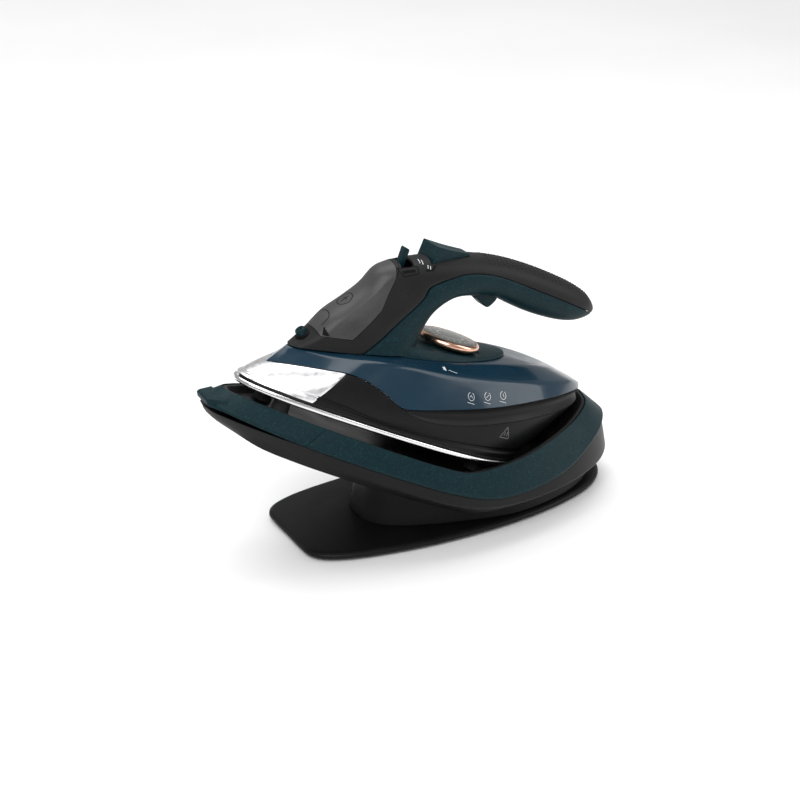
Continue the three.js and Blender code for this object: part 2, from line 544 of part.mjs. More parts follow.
// ---------------------------------------------------------------- filling port
function fillPort() {
  const tray = slab([[53, 63], [75, 93], [77, 91.6], [55, 61.5]], 8.5);
  const tube = rod([FILL_R, 0, 41], [FILL_R, 0, 81], 9);
  const above = slab([[43.5, 50], [77, 95.5], [43.5, 120]], 20);
  return cut(join(tray, cut(tube, above)), rod([FILL_R, 0, 30], [FILL_R, 0, 100], 7));
}
add(iron, 'fill_port', fillPort(), darkGrey());

// ---------------------------------------------------------------- cradle
const cradle = iron;            // the cradle leans with the iron that rests in it
const rimInner = ring(RIM_INNER);
const rimOuter = ring(RIM_OUTER);
const FACET = 2.4;              // upright edge below the sloping face of the rim
const rimBody = skin([rimInner, offset(rimOuter, 0), offset(rimOuter, 0, -FACET),
  offset(rimOuter, 3.5, -FACET), offset(rimInner, -0.2, -4.5)], { looped: true });
const HINGE_R = 38;             // lock lever pivot, under the tray's floor
const HINGE_S = -18;
const LEVER_SEAM = [[58, -2], [38, -26]];
const aheadOfSeam = (shift) => slab([[-60, -60], [LEVER_SEAM[1][0] + shift - 24, -60],
  [LEVER_SEAM[1][0] + shift, LEVER_SEAM[1][1]], [LEVER_SEAM[0][0] + shift, LEVER_SEAM[0][1]],
  [LEVER_SEAM[0][0] + shift, 12], [-60, 12]], 120);

// Thumb tab: a trapezoid that stands forward of the lever's nose.
const tab = skin([
  [vec(-23.5, -9, -16.5), vec(-23.5, 9, -16.5), vec(-21, 9.5, -20), vec(-21, -9.5, -20)],
  [vec(-22, -9.5, -14.6), vec(-22, 9.5, -14.6), vec(-17, 11, -20.1), vec(-17, -11, -20.1)],
  [vec(-10.5, -15, -11.6), vec(-10.5, 15, -11.6), vec(-12, 16.5, -20.2), vec(-12, -16.5, -20.2)]],
{ pairShift: 1 });
const wellInside = skin([offset(rimInner, -0.2, -60), offset(rimInner, -0.2, 60)]);
const leverPin = (side, from, to, radius) =>
  rod([HINGE_R, side * from, HINGE_S], [HINGE_R, side * to, HINGE_S], radius, 12);
add(cradle, 'lock_lever', cut(join(keep(rimBody, aheadOfSeam(0)), cut(tab, wellInside)),
  leverPin(-1, 20, 41.4, 1.8), leverPin(1, 20, 41.4, 1.8)), teal());
add(cradle, 'cradle_rim', cut(rimBody, aheadOfSeam(GAP)), teal());

const floorRail = ring(TRAY_FLOOR, TRAY_LEVEL);
const traySolid = skin([offset(floorRail, 2.5), offset(rimInner, 3, -0.8), offset(rimInner, GAP + 0.2, -0.8),
  offset(floorRail, 0, -2.5)]);
const socketWindow = leaning(box([-14, -18.5, -12], [6, 18.5, 12]), CONNECTOR_MIDDLE);
const pinBoss = (side) => box([HINGE_R - 4, side > 0 ? 24 : -30, HINGE_S - 3.5],
  [HINGE_R + 4, side > 0 ? 30 : -24, TRAY_LEVEL - 1]);
add(cradle, 'cradle_tray', cut(join(traySolid, pinBoss(-1), pinBoss(1)), socketWindow,
  leverPin(-1, 20, 34, 1.8), leverPin(1, 20, 34, 1.8)), black());

const leverRoom = (p) => -FACET - GAP - (p.x < HINGE_R ? 3.2 * (HINGE_R - p.x) / 58 : 0);
const shellTop = offset(rimOuter, 0.6, leverRoom);
const shellCrease = ring(SHELL_CREASE);
const shellBottom = ring(SHELL_BOTTOM);
const shellSolid = skin([offset(shellBottom, WALL, WALL), offset(shellCrease, WALL, 0.8),
  offset(shellTop, WALL), shellTop, shellCrease, shellBottom]);
add(cradle, 'cradle_shell', shellSolid, black());

for (const [i, side] of [-1, 1].entries()) {
  add(cradle, `lever_pin_${i + 1}`, leverPin(side, 24.5, 41, 1.5), steel());
}
for (const [i, [along, half]] of [[30, -14], [30, 14], [190, -34], [190, 34]].entries()) {
  add(cradle, `rest_pad_${i + 1}`,
    rod([along, half, TRAY_LEVEL + GAP], [along, half, -GAP], 7, 16, 5.5), rubber());
}

// Power connector in the raised back, facing the iron's heel.
add(cradle, 'power_connector', leaning(box([-7, -18, -10], [5.5, 18, 10]), CONNECTOR_MIDDLE), black());
for (const [i, side] of [-10, 0, 10].entries()) {
  add(cradle, `power_pin_${i + 1}`,
    leaning(box([-9, side - 1.5, -2], [-7.35, side + 1.5, 4]), CONNECTOR_MIDDLE), brass());
}

// ---------------------------------------------------------------- pedestal and foot plate
const standing = (outline) => outline.map(([x, half]) => [x + FLOOR_SHIFT, half]);
const plateRing = ring(standing(PLATE_OUTLINE));
add(object, 'foot_plate', skin([offset(plateRing, 2.2, PLATE_BOTTOM), offset(plateRing, 0, PLATE_BOTTOM + 1.5),
  offset(plateRing, 0, PLATE_TOP - PLATE_BEVEL), offset(plateRing, 2.6, PLATE_TOP)]), black());

// The pedestal stops just under the shell, which leans back over it.
function underShell(outline, clearance) {
  const lowered = outline.map((p) => vec(p.x, p.y, p.z - clearance));
  const bottomOfShell = skin([lowered, lowered.map((p) => vec(p.x + 60, p.y * 1.3, p.z + 190))]);
  return bottomOfShell.rotateY(THREE.MathUtils.degToRad(PITCH)).translate(TIP_X, 0, TIP_Z);
}
const pedestalRing = ring(standing(PEDESTAL_OUTLINE));
const pedestalOuter = skin([offset(pedestalRing, 0, PLATE_TOP + GAP),
  offset(pedestalRing, 3, PLATE_TOP + 12), offset(pedestalRing, PEDESTAL_LEAN, PEDESTAL_TOP)]);
const pedestalInner = skin([offset(pedestalRing, 3.2, PLATE_TOP - 2),
  offset(pedestalRing, 6.2, PLATE_TOP + 12), offset(pedestalRing, PEDESTAL_LEAN + 3.2, PEDESTAL_TOP + 5)]);
const GLAND_Z = 11.2;
const GLAND_RADIUS = 3.6;
const REAR_X = 168 + FLOOR_SHIFT;
const glandHole = rod([REAR_X - 14, 0, GLAND_Z], [REAR_X + 12, 0, GLAND_Z], GLAND_RADIUS + GAP);
add(object, 'pedestal', cut(pedestalOuter, underShell(shellBottom, GAP), pedestalInner, glandHole), black());
add(object, 'cord_gland', cut(rod([REAR_X - 10, 0, GLAND_Z], [REAR_X + 7, 0, GLAND_Z], GLAND_RADIUS),
  rod([REAR_X - 12, 0, GLAND_Z], [REAR_X + 9, 0, GLAND_Z], 2.2)), rubber());
add(object, 'terminal_block', box([-32, -16, PLATE_TOP + GAP], [-4, 16, 24]), clearPlastic());

for (const [i, [x, y]] of [[-92, -28], [-92, 28], [120, -26], [120, 26]].entries()) {
  add(object, `foot_${i + 1}`, rod([x, y, 0], [x, y, PLATE_BOTTOM - 0.3], FOOT_RADIUS, 16), rubber());
}

export default object;
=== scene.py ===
"""Cordless steam iron on its charging base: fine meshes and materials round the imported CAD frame."""
import json
import math

import bmesh
import bpy
import numpy as np
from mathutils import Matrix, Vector
from mathutils.bvhtree import BVHTree


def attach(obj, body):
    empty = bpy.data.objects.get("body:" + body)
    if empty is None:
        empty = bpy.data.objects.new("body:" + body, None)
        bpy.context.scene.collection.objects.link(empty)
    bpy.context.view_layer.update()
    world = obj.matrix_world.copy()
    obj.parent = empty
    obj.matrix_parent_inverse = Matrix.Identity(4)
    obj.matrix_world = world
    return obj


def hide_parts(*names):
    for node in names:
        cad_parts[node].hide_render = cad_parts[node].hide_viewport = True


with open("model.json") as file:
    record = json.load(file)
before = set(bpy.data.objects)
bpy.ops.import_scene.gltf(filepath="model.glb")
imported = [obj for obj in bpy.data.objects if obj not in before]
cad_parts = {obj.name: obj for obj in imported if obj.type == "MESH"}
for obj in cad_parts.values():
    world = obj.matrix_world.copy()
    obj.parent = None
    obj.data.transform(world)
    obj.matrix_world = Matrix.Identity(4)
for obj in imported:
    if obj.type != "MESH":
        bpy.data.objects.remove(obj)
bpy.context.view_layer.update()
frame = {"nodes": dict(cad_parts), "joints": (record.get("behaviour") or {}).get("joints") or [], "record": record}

# ---------------------------------------------------------------- the iron's own frame
# Points of the iron and its cradle are (along the sole, across, above the sole) in millimetres.
MM = 0.001
joints = {joint["name"]: joint for joint in frame["joints"]}
UP = np.array(joints["steam_lever_turn"]["axis"])
UP = UP / np.linalg.norm(UP)
ALONG = np.array([UP[2], 0, -UP[0]])
ACROSS = np.array([0, 1, 0])
DIAL_R = 150
DIAL_S = 70.3
DIAL_TILT = math.radians(5)
TIP = np.array(joints["dial_turn"]["pos_m"]) / MM - ALONG * DIAL_R - UP * DIAL_S


def leaning(points):
    """World metres of points in the iron's frame."""
    points = np.asarray(points, float)
    return (TIP + points[..., :1] * ALONG + points[..., 1:2] * ACROSS + points[..., 2:] * UP) * MM


def level(points):
    """World metres of points in upright millimetres, from the middle of the whole object."""
    return np.asarray(points, float) * MM


# ---------------------------------------------------------------- driving dimensions
GAP = 0.35
WALL = 2.4
SOLE_THICKNESS = 3.8
SKIRT_BOTTOM = 6
HANDLE_WALL = 2.6
DIAL_RADIUS = 23.5
VALVE_R = 98
FILL_R = 60
FACET = 2.4
PLATE_BOTTOM = 1.6
PLATE_TOP = 7
PEDESTAL_TOP = 78
PEDESTAL_LEAN = 9
GLAND_HEIGHT = 11.2
HEEL_LEAN = math.radians(34)
FLOOR_SHIFT = -19.4             # of the pedestal and plate from the middle of the whole object
HEEL_MIDDLE = (248, 29)         # of the contact window in the skirt's tail
CONNECTOR_MIDDLE = (262, 25)    # of the connector window in the tray
FILL_RADIUS = 9
VALVE_RADIUS = 3.2
SHAFT_RADIUS = 4                # of the hole round the dial's shaft

# Half outlines from the nose to the tail: (along, half width, above).
SOLE_OUTLINE = [(-4, 0), (-2.5, 7), (3, 14.5), (26, 29), (56, 40), (87, 48.5), (120, 56), (152, 60),
                (182, 58.5), (208, 49), (226, 31), (234, 12), (235.5, 0)]
SKIRT_TOP = [(13.5, 0, 18.5), (17.5, 5, 20.5), (25, 13, 23.5), (36, 21, 26.8), (47, 29, 30),
             (56, 35.5, 32.5), (69, 41, 32.5), (84, 47.5, 28.5), (99, 53.3, 22.5), (110, 56, 20),
             (123, 57.5, 19.5), (151, 58, 23.5), (199, 53, 36.5), (240, 40, 49), (264, 24, 57),
             (277, 0, 61.5)]
TANK_EDGE = [(14, 0, 19), (18, 5, 21), (25.5, 13, 24), (36.5, 21, 27.3), (47.5, 29, 30.5), (56, 35.5, 33),
             (69, 41, 33), (84, 47.5, 29), (99, 53, 23.2), (110, 55.5, 25.5), (124, 56.5, 29),
             (169, 56, 41), (218, 46, 55.5), (250, 30, 62.5), (270, 14, 65.2), (279.5, 0, 65.2)]
TANK_CREASE = [(22.8, 0, 31), (25.3, 4, 31.8), (31.5, 9, 33.3), (43, 16.5, 36.2), (54, 22.7, 39.2),
               (71, 29.7, 44), (94, 37.2, 48.8), (142, 44, 53.5), (168, 45.5, 57.8), (195, 43, 62.6),
               (224, 36, 67), (252, 23, 69.6), (271, 9, 68.7), (281, 0, 66.4)]
TANK_CROWN = [(23.9, 0, 32.7), (26.8, 4.3, 33.4), (33, 8.6, 34.9), (46, 15.2, 38.2), (72, 25, 45.7),
              (100, 31, 51.5), (142, 33, 58), (168, 31, 64), (190, 27.5, 69.2), (214, 21, 72.6),
              (236, 11, 73.6), (246, 0, 73.4)]
TANK_SEAM = [(24.8, 0, 33.5), (28.4, 4.3, 34.1), (44.5, 13.2, 38.1), (73, 22.8, 46), (105, 27.3, 53.3),
             (150, 26, 61.5), (173, 20, 66.6), (190, 11.5, 70.2), (199, 0, 71.6)]
HOUSING_BASE = [(88, 0), (88.5, 12), (92, 21), (101, 26.5), (113, 28.8), (130, 29.5), (156, 28.3),
                (176, 23.7), (190, 16.8), (199.5, 9), (203, 0)]
RIM_INNER = [(-10, 0, -6.5), (-8, 6, -6.5), (1, 13.5, -6.5), (12, 21, -6.5), (37, 34.5, -6.5),
             (67, 48, -6.5), (106, 61.5, -6.5), (137, 68.5, -6.5), (162, 71, -5), (184, 70, 4),
             (210, 65, 18), (243, 51, 39), (262, 37, 51), (275, 22, 58.5), (283, 0, 61.5)]
RIM_OUTER = [(-20, 0, -16.5), (-17.5, 12, -16.8), (-8, 21, -17.2), (13, 32, -18.6), (41, 44.5, -19.8),
             (85, 60, -20.5), (121, 69.5, -20.5), (152, 75.5, -20), (183, 77, -17), (210, 74.5, -8),
             (250, 63, 14), (277, 46, 38), (291, 31, 48), (301, 14, 54), (304, 0, 55)]
SHELL_CREASE = [(-18.5, 0, -24.5), (-13.5, 9, -26.5), (0, 19, -28.5), (16, 27, -29.5), (44, 39, -31),
                (85, 54, -32), (121, 65, -32), (152, 72, -31.5), (183, 74, -28), (215, 73, -17),
                (250, 65.5, -1), (280, 52, 13), (302, 35, 23), (315, 17, 29.5), (320, 0, 32)]
SHELL_BOTTOM = [(-15, 0, -27), (-10, 7, -29), (2, 14.5, -32), (20, 25, -36), (45, 35, -37.5),
                (80, 46.5, -38), (110, 55, -38), (145, 61, -38), (175, 63, -37.5), (193, 62, -36),
                (218, 58, -26), (250, 51, -11), (280, 39, 3), (300, 25.5, 12.4), (311, 11, 18),
                (314, 0, 19.2)]
TRAY_FLOOR = [(-5.5, 0, -12), (-3.5, 5.5, -12), (4, 12, -12), (15, 19.5, -12), (38, 32, -12),
              (68, 45, -12), (107, 58.5, -12), (138, 65.5, -12), (165, 67.5, -12), (190, 65, -12),
              (213, 57, -11), (231, 42, -8), (241, 22, -6), (244, 0, -5.5)]
PLATE_OUTLINE = [(-86, 0), (-86, 22), (-85, 34), (-79, 43), (-61, 52), (-17, 60.5), (27, 63), (77, 60),
                 (119, 51.5), (152, 38.5), (170, 23), (178, 8), (179, 0)]
PEDESTAL_OUTLINE = [(-30, 0), (-29, 13), (-21, 25.5), (-7, 34.5), (13, 42.5), (37, 49), (54, 53),
                    (76, 55), (102, 51.5), (132, 41.5), (156, 26), (167, 8), (168, 0)]

# Handle stations: front point, back point (each along, above), half width, share of the depth in
# the upper shell, and form (0 pointed foot, 1 faceted column, 2 oval arm).
HANDLE = [
    (25.3, 34.3, 117.5, 58.4, 27, 0.5, 0),
    (34.3, 46, 118, 70, 24.5, 0.55, 0.7),
    (43, 62, 121, 84, 23, 0.6, 1),
    (55, 77, 127, 95, 22, 0.6, 1),
    (63.3, 89.5, 134.5, 102, 21, 0.56, 1),
    (68.3, 102.5, 142, 105, 20, 0.5, 1.15),
    (76.5, 110, 152, 107.5, 19.3, 0.46, 1.5),
    (93, 118.3, 160, 109.5, 18.7, 0.4, 1.85),
    (114.5, 127, 167, 110, 18.2, 0.33, 2),
    (138, 134.2, 175, 109.6, 17.8, 0.33, 2),
    (163, 138.6, 185, 108.4, 17.5, 0.38, 2),
    (188, 140, 200, 107.2, 17.3, 0.42, 2),
    (214, 139.3, 218, 107.2, 17, 0.44, 2),
    (236, 137.2, 234, 108.6, 16, 0.46, 2),
    (250, 133.6, 245, 111.4, 13.5, 0.48, 2),
    (258.5, 128, 253.5, 116, 9, 0.5, 2),
    (261.8, 124, 259, 119.8, 4, 0.5, 2),
]
CREASE_SHARE = 0.35             # share of a half profile at which the facet ends
FOOT_FRONT = [(0, 0), (0.02, 0.19), (0.05, 0.29), (0.09, 0.37)]
FOOT_SIDE = [(0.09, 0.37), (0.2, 0.53), (0.36, 0.73), (0.55, 0.9), (0.78, 1), (0.95, 0.72), (1, 0)]
COLUMN_FRONT = [(0, 0), (0.01, 0.26), (0.038, 0.46), (0.085, 0.62)]
COLUMN_SIDE = [(0.085, 0.62), (0.2, 0.77), (0.36, 0.9), (0.55, 1), (0.8, 0.95), (0.96, 0.6), (1, 0)]
ARM_BLUNTNESS = 0.86
DOOR_OUTLINE = [(20, 68), (36, 52.5), (40, 48.5), (61, 53.5), (74.5, 79), (78.5, 101), (78.5, 140),
                (20, 140)]
CHROME_SEAM = [(34.5, 0), (60.5, 40)]
LEVER_SEAM = [(58, -2), (38, -26)]

SIDE = 80                       # points on each side of an outline
STATIONS = 150                  # sections along the handle


# ---------------------------------------------------------------- curves and rings
def distances(line):
    """Distance of each point of a line from its start."""
    return np.concatenate([[0], np.cumsum(np.linalg.norm(np.diff(line, axis=0), axis=1))])


def evenly(line, count):
    """Evenly spaced points along a line."""
    length = distances(line)
    wanted = np.linspace(0, length[-1], count)
    return np.column_stack([np.interp(wanted, length, column) for column in line.T])


def smooth(points, count):
    """Evenly spaced points on a centripetal Catmull-Rom curve through the given points."""
    inner = np.asarray(points, float)
    line = np.vstack([2 * inner[0] - inner[1], inner, 2 * inner[-1] - inner[-2]])
    fine = []
    for a, b, c, d in zip(line, line[1:], line[2:], line[3:]):
        knots = np.cumsum([0] + [np.linalg.norm(q - p) ** 0.5 for p, q in ((a, b), (b, c), (c, d))])
        t = np.linspace(knots[1], knots[2], 24, endpoint=False)[:, None]
        first = [p + (q - p) * (t - low) / (high - low) for p, q, low, high in
                 ((a, b, knots[0], knots[1]), (b, c, knots[1], knots[2]), (c, d, knots[2], knots[3]))]
        second = [p + (q - p) * (t - low) / (high - low) for p, q, low, high in
                  ((first[0], first[1], knots[0], knots[2]), (first[1], first[2], knots[1], knots[3]))]
        fine.append(second[0] + (second[1] - second[0]) * (t - knots[1]) / (knots[2] - knots[1]))
    return evenly(np.vstack(fine + [inner[-1:]]), count)


def ring(outline, height=0):
    """Closed ring through a half outline and its mirror image."""
    points = [(p[0], -p[1], p[2] if len(p) > 2 else height) for p in outline]
    near = smooth(points, SIDE + 1)
    near[[0, -1], 1] = 0
    return np.vstack([near, near[-2:0:-1] * (1, -1, 1)])


def offset(points, inset, rise=0):
    """The ring drawn in by a distance in plan and raised."""
    before = np.roll(points, 1, axis=0)
    after = np.roll(points, -1, axis=0)
    inward = np.column_stack([before[:, 1] - after[:, 1], after[:, 0] - before[:, 0], 0 * before[:, 0]])
    inward /= np.linalg.norm(inward, axis=1)[:, None]
    moved = points + inward * inset
    moved[:, 2] += rise
    return moved


def rounded(rails, reaches, steps=4, looped=False):
    """Rings through the rails, with the corner at each rail rounded over its reach."""
    rings = []
    for k, (rail, reach) in enumerate(zip(rails, reaches)):
        at_end = not looped and k in (0, len(rails) - 1)
        if reach == 0 or at_end:
            rings.append(rail)
            continue
        before = rails[k - 1] - rail
        after = rails[(k + 1) % len(rails)] - rail
        arms = []
        for arm in (before, after):
            length = np.maximum(np.linalg.norm(arm, axis=1), 1e-6)[:, None]
            arms.append(rail + arm / length * np.minimum(reach, 0.45 * length))
        for t in np.linspace(0, 1, steps + 1):
            rings.append((1 - t) ** 2 * arms[0] + 2 * t * (1 - t) * rail + t ** 2 * arms[1])
    return rings


# ---------------------------------------------------------------- meshes
SHARP = math.radians(32)


def make(name, points, faces, sharp=SHARP):
    """Closed mesh object with outward faces, smooth but for edges sharper than an angle."""
    mesh = bpy.data.meshes.new(name)
    mesh.from_pydata([tuple(p) for p in points], [], [tuple(f) for f in faces])
    piece = bpy.data.objects.new(name, mesh)
    bpy.context.scene.collection.objects.link(piece)
    tidy_mesh(piece, sharp)
    return piece


def tidy_mesh(piece, sharp=SHARP):
    """Merges doubled points, turns faces outwards and sets smooth shading."""
    work = bmesh.new()
    work.from_mesh(piece.data)
    bmesh.ops.remove_doubles(work, verts=work.verts, dist=1e-6)
    bmesh.ops.dissolve_degenerate(work, edges=work.edges, dist=1e-6)
    bmesh.ops.recalc_face_normals(work, faces=work.faces)
    if work.calc_volume(signed=True) < 0:
        bmesh.ops.reverse_faces(work, faces=work.faces)
    work.to_mesh(piece.data)
    work.free()
    piece.data.shade_smooth()
    piece.data.set_sharp_from_angle(angle=sharp)


def rungs(count, first, pair_shift):
    """Faces that close a ring by rungs between its two sides."""
    faces = []
    for i in range((count - pair_shift) // 2):
        corners = [i, i + 1, (count - pair_shift - i - 1) % count, (count - pair_shift - i) % count]
        unique = list(dict.fromkeys(corners))
        if len(unique) > 2:
            faces.append([first + corner for corner in unique])
    return faces


def skin(name, rings, looped=False, pair_shift=0, place=leaning, sharp=SHARP):
    """Closed body through rings of equal counts."""
    count = len(rings[0])
    faces = []
    for j in range(len(rings) if looped else len(rings) - 1):
        low = j * count
        high = ((j + 1) % len(rings)) * count
        for i in range(count):
            k = (i + 1) % count
            faces.append((low + i, low + k, high + k, high + i))
    if not looped:
        faces += rungs(count, 0, pair_shift)
        faces += rungs(count, (len(rings) - 1) * count, pair_shift)
    return make(name, place(np.vstack(rings)), faces, sharp)


def slab(name, outline, half):
    """Prism across the mid-plane with an outline of (along, above) points."""
    count = len(outline)
    rings = [np.array([(r, side, s) for r, s in outline]) for side in (-half, half)]
    faces = [(i, (i + 1) % count, count + (i + 1) % count, count + i) for i in range(count)]
    faces += [tuple(range(count)), tuple(range(count, 2 * count))]
    return make(name, leaning(np.vstack(rings)), faces)


def block(name, low, high, lean=None):
    """Box between two corners; lean is (along, above) of a heel block's middle."""
    corners = np.array([(x, y, z) for x in (low[0], high[0]) for y in (low[1], high[1])
                        for z in (low[2], high[2])], float)
    if lean:
        corners = tilt(corners, HEEL_LEAN) + (lean[0], 0, lean[1])
    faces = [(0, 1, 3, 2), (4, 6, 7, 5), (0, 4, 5, 1), (2, 3, 7, 6), (0, 2, 6, 4), (1, 5, 7, 3)]
    return make(name, leaning(corners), faces)


def tilt(points, angle):
    """Points turned about the across axis, nose up for a positive angle."""
    x, z = points[:, 0], points[:, 2]
    return np.column_stack([x * math.cos(angle) + z * math.sin(angle), points[:, 1],
                            z * math.cos(angle) - x * math.sin(angle)])


def turned(name, start, end, profile, sides=64, place=leaning, sharp=SHARP):
    """Solid of revolution about the line from start to end; profile is (radius, distance) points.
    A profile that starts and ends on the axis closes there; any other is a ring."""
    start = np.array(start, float)
    axis = np.array(end, float) - start
    axis /= np.linalg.norm(axis)
    first = np.cross(axis, (0, 1, 0) if abs(axis[1]) < 0.9 else (1, 0, 0))
    first /= np.linalg.norm(first)
    second = np.cross(axis, first)
    angles = np.linspace(0, 2 * math.pi, sides, endpoint=False)
    around = np.cos(angles)[:, None] * first + np.sin(angles)[:, None] * second
    solid = profile[0][0] == 0
    points = []
    faces = []
    rows = []
    for radius, distance in profile:
        if radius == 0:
            rows.append([len(points)] * sides)
            points.append(start + axis * distance)
        else:
            rows.append(list(range(len(points), len(points) + sides)))
            points.extend(start + axis * distance + around * radius)
    pairs = list(zip(rows, rows[1:]))
    if not solid:
        pairs.append((rows[-1], rows[0]))
    for low, high in pairs:
        for i in range(sides):
            k = (i + 1) % sides
            corners = list(dict.fromkeys((low[i], low[k], high[k], high[i])))
            if len(corners) > 2:
                faces.append(corners)
    return make(name, place(np.array(points)), faces, sharp)


def rod(name, start, end, radius, sides=32, place=leaning):
    """Plain round bar used as a cutter."""
    length = float(np.linalg.norm(np.array(end, float) - np.array(start, float)))
    return turned(name, start, end, [(0, 0), (radius, 0), (radius, length), (0, length)], sides, place)


def bake(piece):
    """Applies the piece's modifiers."""
    bpy.context.view_layer.update()
    depsgraph = bpy.context.evaluated_depsgraph_get()
    mesh = bpy.data.meshes.new_from_object(piece.evaluated_get(depsgraph))
    piece.modifiers.clear()
    piece.data = mesh


def combine(piece, tool, operation):
    """Boolean of a piece with a tool, which is removed afterwards."""
    modifier = piece.modifiers.new(operation, "BOOLEAN")
    modifier.operation = operation
    modifier.object = tool
    modifier.solver = "EXACT"
    bake(piece)
    bpy.data.objects.remove(tool)
    tidy_mesh(piece)
    return piece


def cut(piece, *tools):
    for tool in tools:
        combine(piece, tool, "DIFFERENCE")
    return piece


def keep(piece, tool):
    return combine(piece, tool, "INTERSECT")


def join(piece, *others):
    for other in others:
        combine(piece, other, "UNION")
    return piece


def soften(piece, width, segments=2, angle=40):
    """Rounds the edges sharper than an angle by a width in millimetres."""
    bevel = piece.modifiers.new("soften", "BEVEL")
    bevel.width = width * MM
    bevel.segments = segments
    bevel.limit_method = "ANGLE"
    bevel.angle_limit = math.radians(angle)
    bevel.use_clamp_overlap = True
    bake(piece)
    tidy_mesh(piece)
    return piece


def twin(piece, name):
    """Separate copy of a piece."""
    copy = bpy.data.objects.new(name, piece.data.copy())
    bpy.context.scene.collection.objects.link(copy)
    return copy


# ---------------------------------------------------------------- materials
def shader(name, colour, roughness, metallic=0.0, coat=0.0, coat_roughness=0.1, specular=0.5):
    """New material; returns it with its node tree and its principled shader."""
    material = bpy.data.materials.new(name)
    material.use_nodes = True
    tree = material.node_tree
    surface = tree.nodes["Principled BSDF"]
    surface.inputs["Base Color"].default_value = (*colour, 1)
    surface.inputs["Roughness"].default_value = roughness
    surface.inputs["Metallic"].default_value = metallic
    surface.inputs["Coat Weight"].default_value = coat
    surface.inputs["Coat Roughness"].default_value = coat_roughness
    surface.inputs["Specular IOR Level"].default_value = specular
    return material, tree, surface


def grain(tree, scale, stretch=(1, 1, 1), detail=2.0):
    """Noise over the object's own space; returns its value output."""
    place = tree.nodes.new("ShaderNodeTexCoord")
    mapping = tree.nodes.new("ShaderNodeMapping")
    mapping.inputs["Scale"].default_value = stretch
    noise = tree.nodes.new("ShaderNodeTexNoise")
    noise.inputs["Scale"].default_value = scale
    noise.inputs["Detail"].default_value = detail
    tree.links.new(place.outputs["Object"], mapping.inputs["Vector"])
    tree.links.new(mapping.outputs["Vector"], noise.inputs["Vector"])
    return noise.outputs["Fac"]


def ramp(tree, value, stops):
    """Colour ramp over a value."""
    node = tree.nodes.new("ShaderNodeValToRGB")
    while len(node.color_ramp.elements) < len(stops):
        node.color_ramp.elements.new(0.5)
    for element, (position, colour) in zip(node.color_ramp.elements, stops):
        element.position = position
        element.color = (*colour, 1)
    tree.links.new(value, node.inputs["Fac"])
    return node.outputs["Color"]


def spread(tree, value, low, high):
    """Value mapped from the noise's middle range to a range."""
    node = tree.nodes.new("ShaderNodeMapRange")
    node.inputs["From Min"].default_value = 0.3
    node.inputs["From Max"].default_value = 0.7
    node.inputs["To Min"].default_value = low
    node.inputs["To Max"].default_value = high
    tree.links.new(value, node.inputs["Value"])
    return node.outputs["Result"]


def relief(tree, surface, value, strength, distance):
    """Bump from a value."""
    node = tree.nodes.new("ShaderNodeBump")
    node.inputs["Strength"].default_value = strength
    node.inputs["Distance"].default_value = distance * MM
    tree.links.new(value, node.inputs["Height"])
    tree.links.new(node.outputs["Normal"], surface.inputs["Normal"])


def plastic(name, dark, light, roughness, grain_scale=1500, bump=0.05, coat=0.0, patch=45, specular=0.5):
    """Moulded plastic: fine grain, slow colour drift and uneven gloss."""
    material, tree, surface = shader(name, dark, roughness, coat=coat, specular=specular)
    fine = grain(tree, grain_scale)
    slow = grain(tree, patch, detail=4)
    mix = tree.nodes.new("ShaderNodeMath")
    mix.operation = "MULTIPLY_ADD"
    mix.inputs[1].default_value = 0.75
    tree.links.new(fine, mix.inputs[0])
    half = tree.nodes.new("ShaderNodeMath")
    half.operation = "MULTIPLY"
    half.inputs[1].default_value = 0.25
    tree.links.new(slow, half.inputs[0])
    tree.links.new(half.outputs[0], mix.inputs[2])
    tree.links.new(ramp(tree, mix.outputs[0], [(0.36, dark), (0.64, light)]), surface.inputs["Base Color"])
    tree.links.new(spread(tree, slow, roughness - 0.04, roughness + 0.05), surface.inputs["Roughness"])
    relief(tree, surface, fine, bump, 0.05)
    return material


def teal_paint():
    """Dark teal with fine lighter metal flakes."""
    material, tree, surface = shader("teal_plastic", (0.0012, 0.015, 0.019), 0.5, specular=0.16)
    flakes = tree.nodes.new("ShaderNodeTexVoronoi")
    flakes.inputs["Scale"].default_value = 1300
    place = tree.nodes.new("ShaderNodeTexCoord")
    tree.links.new(place.outputs["Object"], flakes.inputs["Vector"])
    split = tree.nodes.new("ShaderNodeSeparateColor")
    tree.links.new(flakes.outputs["Color"], split.inputs["Color"])
    tone = ramp(tree, split.outputs["Red"], [(0.0, (0.001, 0.012, 0.016)), (0.6, (0.0014, 0.015, 0.02)),
                                             (0.94, (0.002, 0.021, 0.026)), (1.0, (0.005, 0.038, 0.044))])
    tree.links.new(tone, surface.inputs["Base Color"])
    tree.links.new(spread(tree, grain(tree, 60, detail=4), 0.44, 0.54), surface.inputs["Roughness"])
    relief(tree, surface, split.outputs["Green"], 0.06, 0.03)
    return material


def metal(name, colour, roughness, stretch=(1, 1, 1), scale=700, bump=0.03):
    """Metal with drawn or fine random marks."""
    material, tree, surface = shader(name, colour, roughness, metallic=1.0)
    marks = grain(tree, scale, stretch, detail=5)
    low = tuple(0.88 * part for part in colour)
    tree.links.new(ramp(tree, marks, [(0.3, low), (0.7, colour)]), surface.inputs["Base Color"])
    tree.links.new(spread(tree, marks, roughness * 0.8, roughness * 1.3), surface.inputs["Roughness"])
    relief(tree, surface, marks, bump, 0.02)
    return material


